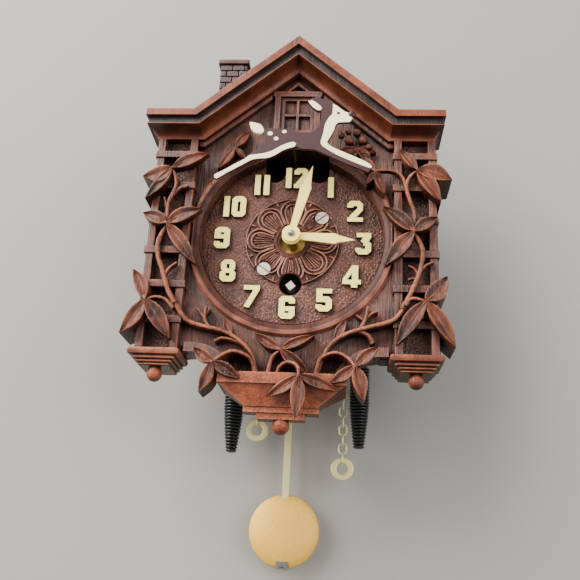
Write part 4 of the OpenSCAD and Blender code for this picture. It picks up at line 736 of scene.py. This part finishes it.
STEMS = (
    # Stems that climb the trellis
    (((-47.8, 1), (-50.6, -5.6), (-50.2, -11.7), (-48, -17.2), (-45.2, -25), (-41.8, -31)),
     1.9, 2.0, 11.4, TRELLIS),
    (((-48.2, 25.1), (-46.4, 21), (-46.2, 17), (-48.4, 10), (-47.8, 1)), 1.2, 1.7, (12, 11.4), TRELLIS),
    (((-52.7, -30.2), (-49, -29), (-45.4, -29.8), (-42, -33)), 1.1, 1.7, (12, 11), TRELLIS),
    (((-47.6, 13), (-45, 16.6), (-41.2, 18.2)), 1.4, 1.7, 11.2, TRELLIS),
    (((-46.9, -20), (-45.2, -17), (-42.6, -14.8)), 1.3, 0.9, 11, TRELLIS),
    (((-49.4, 8.8), (-49.6, 11), (-50.4, 13)), 1.0, 0.7, 10.8, TRELLIS),
    (((46.7, -0.8), (49.8, -7.2), (49.2, -14.4), (47, -21.1), (43.2, -30)), 1.9, 2.0, 11.4, TRELLIS),
    (((48.1, 25.4), (45.2, 22.6), (44, 18.4), (45.4, 12.6), (47, 7), (46.7, -0.8)),
     1.2, 1.7, (12, 11.4), TRELLIS),
    (((50.6, -28.5), (46.6, -27.2), (43.4, -28.6), (42.2, -31)), 1.1, 1.6, (12, 11), TRELLIS),
    (((32.1, 25.6), (38, 25.8), (42.2, 23.6), (44.2, 18)), 1.1, 1.5, 11.2, TRELLIS),
    (((48.6, -17), (50.6, -14.2), (53.6, -12.6)), 1.3, 1.0, 11, TRELLIS),
    (((48.2, -18), (46.8, -15.4), (44.6, -14.2)), 1.3, 0.9, 11, TRELLIS),
    (((47.4, -19.4), (45.8, -19.2), (44.4, -19.8)), 1.2, 0.8, 10.8, TRELLIS),
    # Stems on the ground under the dial
    (((-42.6, -29.6), (-39.4, -34.4), (-35.8, -37.8), (-30.2, -39.4), (-23.6, -40.8),
      (-19.1, -42.8), (-14.7, -46.1), (-11.3, -50.6), (-9.9, -57.7)), 2.0, 1.3, (10.6, 9.2), GROUND),
    (((-28.4, -39.6), (-30.4, -36), (-30.2, -31.4)), 1.4, 0.9, 8.8, GROUND),
    (((-29.8, -36.6), (-32.4, -33.4), (-33.8, -32)), 1.0, 0.7, 8.4, GROUND),
    (((-30.3, -34), (-28.9, -31.8)), 0.9, 0.6, 8.2, GROUND),
    (((-15.4, -45.6), (-19.6, -43.8), (-23.6, -43.4), (-26, -44.8)), 1.4, 1.0, 8.8, GROUND),
    (((43.6, -29.2), (40.4, -34.2), (36.4, -36.4), (28.7, -38.5), (20.9, -41.4), (15.3, -46.8),
      (11.4, -57.7)), 2.0, 1.3, (10.6, 9.2), GROUND),
    (((27, -38.8), (29, -34.6), (30, -29.8)), 1.6, 1.1, 8.8, GROUND),
    (((28.6, -35.2), (31, -32.6), (33.4, -31.4)), 1.3, 0.9, 8.4, GROUND),
    (((28.7, -35.4), (26.6, -33.8), (25.6, -33)), 1.1, 0.8, 8.2, GROUND),
    (((24.6, -39.6), (27.6, -39.7), (30.4, -41.2), (31.8, -44)), 1.5, 1.8, 9, GROUND),
    # Curls that carry the sprays over the bracket
    (((-24.4, -55.2), (-21.8, -52), (-18.2, -49.8), (-14.2, -50.4), (-11.5, -52.4), (-10.1, -57.7)),
     1.2, 1.4, (18.4, 9), GROUND),
    (((25.4, -55.2), (23, -51.8), (19.2, -49.4), (15.2, -49.8), (12.6, -51.8), (11.5, -57.7)),
     1.2, 1.4, (18.4, 9), GROUND),
    (((-1.7, -47.4), (-4.6, -50.6), (-6, -57.7)), 1.1, 1.4, 9.2, GROUND),
    (((5.9, -56.6), (4.6, -54.4), (1.4, -53), (-1.6, -54.6), (-2.4, -57.7)), 1.2, 1.3, (18.4, 9),
     GROUND),
    (((5.8, -56.4), (6, -59.2)), 1.2, 1.2, 18.5, SHELF),
)
for path, thick, thin, front, back in STEMS:
    stem(vines, path, thick, thin, front, back, knob=1.12)
piece("vine_carving", vines, "case", leaf_finish,
      ["vine_left", "vine_right", "bracket_leaves"], smooth=50)


# Berries:
# Six berries of several sizes and a few twigs stand over their leaves in the corner beside the
# deer, moulded with the panel.

berry_finish = carved_wood("berry_wood", "220f0b", "45231a", "7a4534", grain=0.3, rub="attribute",
                           depth=0.35, sheen=0.22)[0]
berries = carving()
rub = berries.verts.layers.float["rub"]
for x, z, size in ((21.6, 41.2, 1.9), (27.2, 41.4, 1.9), (24.8, 44.9, 1.75), (18.4, 43.6, 1.4),
                   (21.2, 45.4, 1.3), (29.6, 38.4, 1.3)):
    ball = bmesh.ops.create_uvsphere(berries, u_segments=20, v_segments=14, radius=size)["verts"]
    bmesh.ops.translate(berries, verts=ball, vec=(x, -7.0, z))
    for v in ball:
        v[rub] = max(0.0, -(v.co.y + 6.4) / 2.4)
for x, z in ((21.6, 41.2), (27.2, 41.4), (24.8, 44.9)):
    stem(berries, ((25.2, 37.6), ((x + 25.2) / 2 + 0.5, (z + 37.6) / 2), (x, z)), 1.0, 0.8, 6.2, GROUND)
piece("berry_cluster", berries, "case", berry_finish, ["berry_sprig"], smooth=50)


# Rosette:
# A moulded rosette of eight fluted petals fills the middle of the dial, with holes for the hands
# and the winding square and room for the two dial screws.

rosette_finish = carved_wood("rosette_wood", "2a130d", "4a281e", "5f3729", grain=0.15, depth=0.25)[0]
ridge_finish = carved_wood("ridge_wood", "3a1d14", "7a4636", "b87c66", grain=0.15, rub="attribute",
                           depth=0.2)[0]
rounded("rosette", 0.12, smooth=40, finish=rosette_finish)
ROSETTE_GAPS = ((Vector((0, -18.25)), 4.9), (Vector((11.5, 10.4)), 3.1), (Vector((-10.6, -12)), 3.1))
flutes = carving()


def ridge(points, wide, front, narrow=None):
    """A raised line on the rosette that stops at the holes and the screws."""
    run = []
    for at in smoothed(points, 4) + [None]:
        if at and all((at - gap).length > keep for gap, keep in ROSETTE_GAPS):
            run.append(at)
            continue
        if len(run) > 3:
            stem(flutes, run[::2] + [run[-1]], wide, narrow or wide, front, -1.12, uneven=0, steps=1)
        run = []


for petal in range(8):
    heading = math.radians(45 * petal)
    out = Vector((math.sin(heading), math.cos(heading)))
    wide = Vector((out.y, -out.x))
    for grow, front in ((4.95, -0.2), (3.4, -0.35)):
        bow = [out * 7.2 + wide * 0.54 * grow, out * 10.4 + wide * 0.84 * grow]
        for step in range(9):
            turn = math.pi * step / 8
            bow.append(out * (12.8 + grow * math.sin(turn)) + wide * grow * math.cos(turn))
        bow += [out * 10.4 - wide * 0.84 * grow, out * 7.2 - wide * 0.54 * grow]
        ridge(bow, 0.8, front)
    for k in range(-2, 3):
        start = out * 8.2 + wide * (k * 0.6)
        end = out * (15.2 - 0.35 * k * k) + wide * (k * 1.12)
        ridge([start, (start + end) / 2, end], 0.3, -0.62, 0.55)
    between_petals = Vector((math.sin(heading + math.pi / 8), math.cos(heading + math.pi / 8)))
    ridge([between_petals * 16.2, between_petals * 17, between_petals * 17.9], 0.3, -0.5, 1.4)
ridge([Vector((18.35 * math.sin(a), 18.35 * math.cos(a))) for a in
       [math.pi + math.tau * i / 32 for i in range(33)]], 0.5, -0.4)
piece("rosette_flutes", flutes, "case", ridge_finish, smooth=50)


# Numerals:
# Twelve numerals, cast in cream plastic and pinned on the dial. Their faces have gone yellow and
# specked, and their sides are painted dark brown as painted shade.


def mottling():
    """Two colours that meet in fine specks, as on old paint."""
    group, given, result = new_group(
        "mottling", {"Place": "Vector", "Scale": "Float", "Detail": "Float", "Roughness": "Float",
                     "Low": "Float", "High": "Float", "Dark": "Color", "Light": "Color"},
        {"Color": "Color", "Height": "Float"})
    speck = noise(group, *(given[name] for name in ("Place", "Scale", "Detail", "Roughness")))
    mask = spread(group, speck, given["Low"], given["High"])
    group.links.new(blend(group, mask, given["Dark"], given["Light"]), result["Color"])
    group.links.new(speck, result["Height"])
    return group


MOTTLING = mottling()


def mottled(tree, place, dark, light, scale, detail=4.0, roughness=0.5, low=0.0, high=1.0):
    """Places the mottling and gives its colour and its height."""
    if isinstance(light, str):
        light = paint(light)
    return add(tree, "Group", {"Place": place, "Scale": scale, "Detail": detail,
                               "Roughness": roughness, "Low": low, "High": high, "Dark": paint(dark),
                               "Light": light}, node_tree=MOTTLING).outputs


cream, tree, shader = material("cream_numerals", Roughness=0.45, Specular_IOR_Level=0.3)
coords = add(tree, "TexCoord").outputs
tint = mottled(tree, coords["Object"], "fae668", "fff27c", 120.0, 2.0)[0]
colour, height = mottled(tree, coords["Object"], "ddd09a", tint, 900.0, low=0.3, high=0.55)
# Faces that do not look to the front get dark brown: painted shade on the numerals' sides
front = spread(tree, add(tree, "SeparateXYZ", {0: coords["Normal"]}).outputs["Y"], -0.35, -0.75)
finish_with(tree, shader, blend(tree, front, paint("4a3519"), colour), height, 0.12, 0.0003)
rounded("numerals", 0.14, finish=cream)


# Dial screws:
# Two slotted screws of nickel-plated steel go through the rosette and hold the movement. Their
# slots are dark with tarnish.


def tarnish():
    """Metal with fine uneven polish, patchy, and dark in its slots."""
    group, given, result = new_group(
        "tarnish", {"Place": "Vector", "Light": "Color", "Dark": "Color", "Haze": "Float"},
        {"Color": "Color", "Roughness": "Float", "Height": "Float"})
    polish = noise(group, given["Place"], 700.0, 4.0)
    tint = blend(group, noise(group, given["Place"], 90.0, 3.0), given["Dark"], given["Light"])
    slots = add(group, "AmbientOcclusion", {"Distance": 0.0009}, samples=6, only_local=True)
    dirt = spread(group, slots.outputs["AO"], 0.35, 0.9, 0.06, 1.0)
    group.links.new(times(group, tint, dirt), result["Color"])
    least, most = (reckon(group, "MULTIPLY", given["Haze"], part) for part in (0.7, 1.5))
    group.links.new(spread(group, polish, 0, 1, least, most), result["Roughness"])
    group.links.new(polish, result["Height"])
    return group


TARNISH = tarnish()


def metal(name, colour, haze, metallic=1.0):
    """A metal finish in one colour, dull where it is tarnished."""
    made, tree, shader = material(name, Metallic=metallic)
    light = paint(colour)
    skin = add(tree, "Group", {"Place": add(tree, "TexCoord").outputs["Object"], "Light": light,
                               "Dark": tuple(c * 0.62 for c in light[:3]) + (1,), "Haze": haze},
               node_tree=TARNISH).outputs
    finish_with(tree, shader, skin["Color"], skin["Height"], 0.25, 0.0001, skin["Roughness"])
    return made


nickel = metal("nickel", "e2cfbf", 0.45, 0.8)
rounded("dial_screws", 0.12, finish=nickel)


# Hands:
# Two hands stamped from sheet and enamelled cream are pressed on their pipes. A small domed nut
# of bright steel holds them.

hand_enamel, tree, shader = material("hand_enamel", Roughness=0.42, Specular_IOR_Level=0.3)
colour, height = mottled(tree, add(tree, "TexCoord").outputs["Object"], "caa145", "ffe478", 1500.0,
                         roughness=0.7, low=0.28, high=0.42)
finish_with(tree, shader, colour, height, 0.15, 0.0002)
steel = metal("steel", "9fa0a0", 0.3)
rounded("hour_hand", 0.16, finish=hand_enamel)
rounded("minute_hand", 0.16, finish=hand_enamel)
rounded("hand_nut", 0.1, smooth=60, finish=steel)


# Deer:
# A leaping fawn sawn from thin board, sprayed plum brown, with cream laid on by brush for tail,
# ear, face, chest and legs, and a small dark eye and nose.

FAWN = ((-12.6, 39.8), (-12.4, 41.6), (-6.6, 42.1), (-1.9, 41.9), (0.7, 40.8), (3.1, 40.4), (5.4, 40.4),
        (7.3, 40.7), (8.7, 42.1), (9.8, 44.6), (10.3, 47.2), (10.2, 50), (8.7, 50.2), (6.8, 51.8),
        (5.2, 53.9), (4.7, 55), (6.8, 56.6), (9.1, 56.6), (11.9, 55.7), (14.2, 54.3), (14.8, 53.7),
        (16.5, 52.7), (18.4, 51.1), (20, 49.9), (20.9, 49.9), (22.4, 49.2), (22.9, 47.9), (22.6, 47.2),
        (22.5, 46.5), (21.8, 45.3), (20.7, 45.1), (17.9, 45), (16.8, 44.5), (16.1, 43.5), (15.4, 41),
        (14.2, 38.4), (13.3, 36.6), (12.9, 35.9), (14.2, 34.3), (17.9, 32.2), (21.1, 30.6),
        (24.4, 29.2), (27.6, 27.8), (29.8, 26.3), (29.9, 24.3), (29.1, 22.9), (25.8, 24.3),
        (21.1, 26.2), (16.5, 28.5), (11.9, 30.8), (8.7, 32.4), (5.9, 32.8), (3.6, 32.8), (2.2, 33.1),
        (1.1, 33.8), (-0.1, 33.4), (-1.9, 33), (-4.3, 32), (-6.6, 30.3), (-8.4, 29.2), (-10.3, 28.5),
        (-13, 28.3), (-15.8, 27.8), (-18.1, 26.6), (-22.7, 23.6), (-26, 21.6), (-29.6, 19.1),
        (-30.6, 20.9), (-27.3, 22.9), (-22.7, 25.9), (-19, 28.3), (-17.2, 30.3), (-14.9, 32.6),
        (-12.1, 34.3), (-11.6, 35.2), (-11.7, 36.6), (-12.1, 38.4))
TAIL = ((-18.2, 44.8), (-17.6, 44.9), (-14, 44), (-12.6, 42.1), (-12.4, 40.4), (-14, 39.7),
        (-16.5, 40.7), (-17.9, 43))
EAR = ((5.0, 55.0), (5.9, 55.3), (7.3, 54.8), (10.1, 52.3), (10.2, 51.2), (9.1, 50.6), (6.9, 52),
       (5.4, 54))
CHEST = ((14.8, 53.6), (16.5, 52.6), (18.4, 51), (20, 49.8), (20.9, 49.7), (21.2, 48.6), (22.6, 47.4),
         (22.4, 46.5), (21.8, 45.4), (20.7, 45.2), (17.9, 45.1), (16.8, 44.6), (16, 43.5),
         (15.3, 41), (14.1, 38.4), (13.2, 36.6), (12.9, 35.9), (14.2, 34.4), (17.9, 32.3),
         (24.4, 29.3), (29.7, 26.4), (29.8, 24.6), (21.1, 28.3), (16.5, 30.6), (12.4, 33.3),
         (10.8, 34.7), (10.5, 36.6), (11.4, 40.3), (11.9, 44), (13.3, 47.2), (14.7, 49))
HIND = ((0.7, 35.1), (0.1, 33.8), (-1.9, 33.1), (-4.3, 32.1), (-6.6, 30.4), (-8.4, 29.3),
        (-10.3, 28.6), (-13, 28.4), (-15.8, 27.9), (-18.1, 26.7), (-22.7, 23.7), (-26, 21.7),
        (-29.6, 19.2), (-30.5, 20.9), (-27.3, 22.8), (-22.7, 25.8), (-19, 28.1), (-17.2, 29.7),
        (-14.4, 30.2), (-11.2, 30.8), (-8.4, 31.9), (-5.6, 33.8), (-2.9, 35.2), (-0.3, 35.9))
FAWN_FRONT, FAWN_THICK, COAT = 14.6, 1.2, 0.09


def cut_out(bm, outline, front, thick, rounding):
    """A flat shape sawn along its outline, with its front that far before the numerals."""
    points = smoothed([Vector(p) for p in outline] + [Vector(outline[0])], 2)[:-1]
    face = bm.faces.new([bm.verts.new((p.x, -front, p.y)) for p in points])
    made = bmesh.ops.extrude_face_region(bm, geom=[face])["geom"]
    bmesh.ops.translate(bm, verts=[g for g in made if isinstance(g, bmesh.types.BMVert)],
                        vec=(0, thick, 0))
    bmesh.ops.bevel(bm, geom=list(face.edges), offset=rounding, offset_type="OFFSET", segments=2,
                    profile=0.5, affect="EDGES", clamp_overlap=True, material=-1)


def brushed_paint(name, light, dark, roughness):
    """Paint laid on by hand, with faint brush marks."""
    made, tree, shader = material(name, Roughness=roughness, Specular_IOR_Level=0.25)
    place = add(tree, "TexCoord").outputs["Object"]
    laid = add(tree, "Mapping", {"Vector": place, "Rotation": (0, math.radians(28), 0),
                                 "Scale": (0.35, 1, 1.6)}).outputs[0]
    colour, height = mottled(tree, laid, dark, light, 650.0, roughness=0.6)
    finish_with(tree, shader, colour, height, 0.2, 0.0002)
    return made


plum = brushed_paint("plum_coat", "3f2529", "372023", 0.5)
white = brushed_paint("cream_coat", "fff2c2", "f2e4b0", 0.5)
dark_coat = brushed_paint("dark_coat", "4a2328", "2a1416", 0.35)
dull_brass = metal("dull_brass", "4f4230", 0.55)

fawn = bmesh.new()
cut_out(fawn, FAWN, FAWN_FRONT, FAWN_THICK, 0.14)
piece("fawn_board", fawn, "rocker", plum, ["deer"])
coat = bmesh.new()
for outline in (TAIL, EAR, CHEST, HIND):
    cut_out(coat, outline, FAWN_FRONT + COAT, COAT + (FAWN_THICK if outline is TAIL else 0), 0.05)
for x, z, wide, high in ((-9.7, 39.7, 1.05, 0.9), (-7.2, 37.4, 0.95, 0.8), (-4.1, 40.6, 0.9, 0.7)):
    spot = [(x + wide * math.cos(a * math.tau / 12), z + high * math.sin(a * math.tau / 12))
            for a in range(12)]
    cut_out(coat, spot, FAWN_FRONT + COAT, COAT, 0.03)
piece("fawn_cream", coat, "rocker", white)
marks = bmesh.new()
for x, z, size, level in ((17.1, 49.3, 0.68, 2 * COAT), (22.5, 48.9, 1.55, COAT)):
    dot = bmesh.ops.create_uvsphere(marks, u_segments=24, v_segments=12, radius=size)["verts"]
    bmesh.ops.scale(marks, vec=(1, 0.28 if size < 1 else 0.42, 0.92), verts=dot)
    bmesh.ops.translate(marks, vec=(x, -FAWN_FRONT - level + 0.1, z), verts=dot)
piece("fawn_marks", marks, "rocker", dark_coat, smooth=60)
dress("deer_arm", dull_brass)


# Pendulum:
# A flat brass rod hangs behind the case. The bob is a shallow disc sprayed with gold dust, held
# on the rod by a small spring clip.

gold, tree, shader = material("gold_dust", Metallic=0.3, Specular_IOR_Level=0.5)
place = add(tree, "TexCoord").outputs["Object"]
cloud = mottled(tree, place, "f0b23a", "ffcd50", 130.0, 3.0)[0]
colour, height = mottled(tree, place, "c89640", cloud, 2600.0, roughness=0.75, low=0.35, high=0.65)
finish_with(tree, shader, colour, height, 0.5, 0.00025, spread(tree, height, 0, 1, 0.35, 0.7))
pale_brass = metal("pale_brass", "f2e2a0", 0.4, 0.45)
rounded("pendulum_bob", 0.2, smooth=40, finish=gold)
rounded("pendulum_rod", 0.08, finish=pale_brass)
rounded("bob_clip", 0.12, finish=steel)


# Chains and rings:
# Open twisted-wire chains with stamped pull rings hang from brass eyes under the case. The wire
# is drawn a little thinner than its solid, so that links clear each other as they swing.

WIRE_THINNER = 0.07
for node in ("case_hooks", "chain_left", "chain_right"):
    rounded(node, 0, smooth=60, finish=pale_brass, thinner=WIRE_THINNER)
for node in ("ring_left", "ring_right"):
    rounded(node, 0.14, smooth=40, finish=pale_brass)


# Weights:
# Two turned dummy weights, ribbed like screws and dipped in black lacquer. Each hangs by its own
# wire loop from an eye under the case.

lacquer, tree, shader = material("black_lacquer", Specular_IOR_Level=0.5)
colour, height = mottled(tree, add(tree, "TexCoord").outputs["Object"], "0b0b0c", "1d1c1c", 420.0)
tree.links.new(colour, shader.inputs["Base Color"])
tree.links.new(spread(tree, height, 0, 1, 0.24, 0.5), shader.inputs["Roughness"])
RIBS, RIB_STEPS, WEIGHT_LONG, WEIGHT_WIDE = 26, 6, 32.5, 4.1
WEIGHTS = (("weight_left", "weight_l", -22, -47.1), ("weight_right", "weight_r", 28, -43.9))
for name, body, x, top in WEIGHTS:
    turned = bmesh.new()
    points = [Vector((0, 0, top))]
    for i in range(RIBS * RIB_STEPS + 1):
        part = i / (RIBS * RIB_STEPS)
        wide = WEIGHT_WIDE * (1 if part < 0.45 else 1 - 0.48 * ((part - 0.45) / 0.55) ** 1.3)
        wave = abs(math.sin(math.pi * i / RIB_STEPS)) ** 0.7
        points.append(Vector((wide - 0.75 * (1 - wave), 0, top - 0.05 - (WEIGHT_LONG - 0.1) * part)))
    points.append(Vector((0, 0, top - WEIGHT_LONG)))
    verts = [turned.verts.new(p) for p in points]
    edges = [turned.edges.new(pair) for pair in zip(verts, verts[1:])]
    bmesh.ops.spin(turned, geom=verts + edges, cent=(0, 0, 0), axis=(0, 0, 1), dvec=(0, 0, 0),
                   angle=math.tau, steps=36, use_merge=True)
    bmesh.ops.remove_doubles(turned, verts=turned.verts, dist=0.001)
    bmesh.ops.translate(turned, verts=turned.verts, vec=(x, 27, 0))
    wire = bmesh.ops.create_circle(turned, segments=10, radius=0.4)["verts"]
    bmesh.ops.translate(turned, verts=wire, vec=(0, 1.3, 0))
    loop = {e for v in wire for e in v.link_edges}
    bmesh.ops.spin(turned, geom=wire + list(loop), cent=(0, 0, 0), axis=(1, 0, 0), dvec=(0, 0, 0),
                   angle=math.tau, steps=28, use_merge=True)
    ring = [v for v in turned.verts if v.co.length < 2.2 and abs(v.co.x) < 0.5]
    bmesh.ops.translate(turned, verts=ring, vec=(x, 27, top + 1.5))
    bmesh.ops.remove_doubles(turned, verts=turned.verts, dist=0.001)
    piece(name + "_turned", turned, body, lacquer, [name], smooth=70)


# Case and movement:
# Behind the panel: a box of thin stained boards, a pressed back board with its hanger, and a
# small plated brass movement, of which the openings above and below the dial show a little.

box_finish = carved_wood("box_wood", "4a3022", "6d4a35", "8a6248", grain=0.8, depth=0.3)[0]
board_finish, tree, shader = material("pressed_board", Roughness=0.85)
colour, height = mottled(tree, add(tree, "TexCoord").outputs["Object"], "7d5c3c", "b08d63", 800.0,
                         5.0, 0.7)
finish_with(tree, shader, colour, height, 0.3, 0.0002)
brass = metal("brass", "c9a95a", 0.3)
rounded("case_box", 0.2, finish=box_finish)
rounded("back_cover", 0.1, finish=board_finish)
rounded("hanger_plate", 0.1, finish=steel)
for node in ("cover_screws", "panel_screws"):
    rounded(node, 0.1, finish=brass)
for node in ("front_plate", "back_plate"):
    dress(node, dull_brass)
for node in ("pillars", "pendulum_cock", "ratchet_wheel", "great_wheel",
             "centre_wheel", "third_wheel", "fourth_wheel", "escape_wheel", "cannon_pinion",
             "minute_wheel", "hour_wheel"):
    dress(node, brass)
for node in ("mainspring", "click", "click_spring", "centre_arbor", "third_arbor", "fourth_arbor",
             "escape_arbor", "verge", "verge_arbor", "pendulum_leader"):
    dress(node, steel)
dress("winding_arbor", nickel)
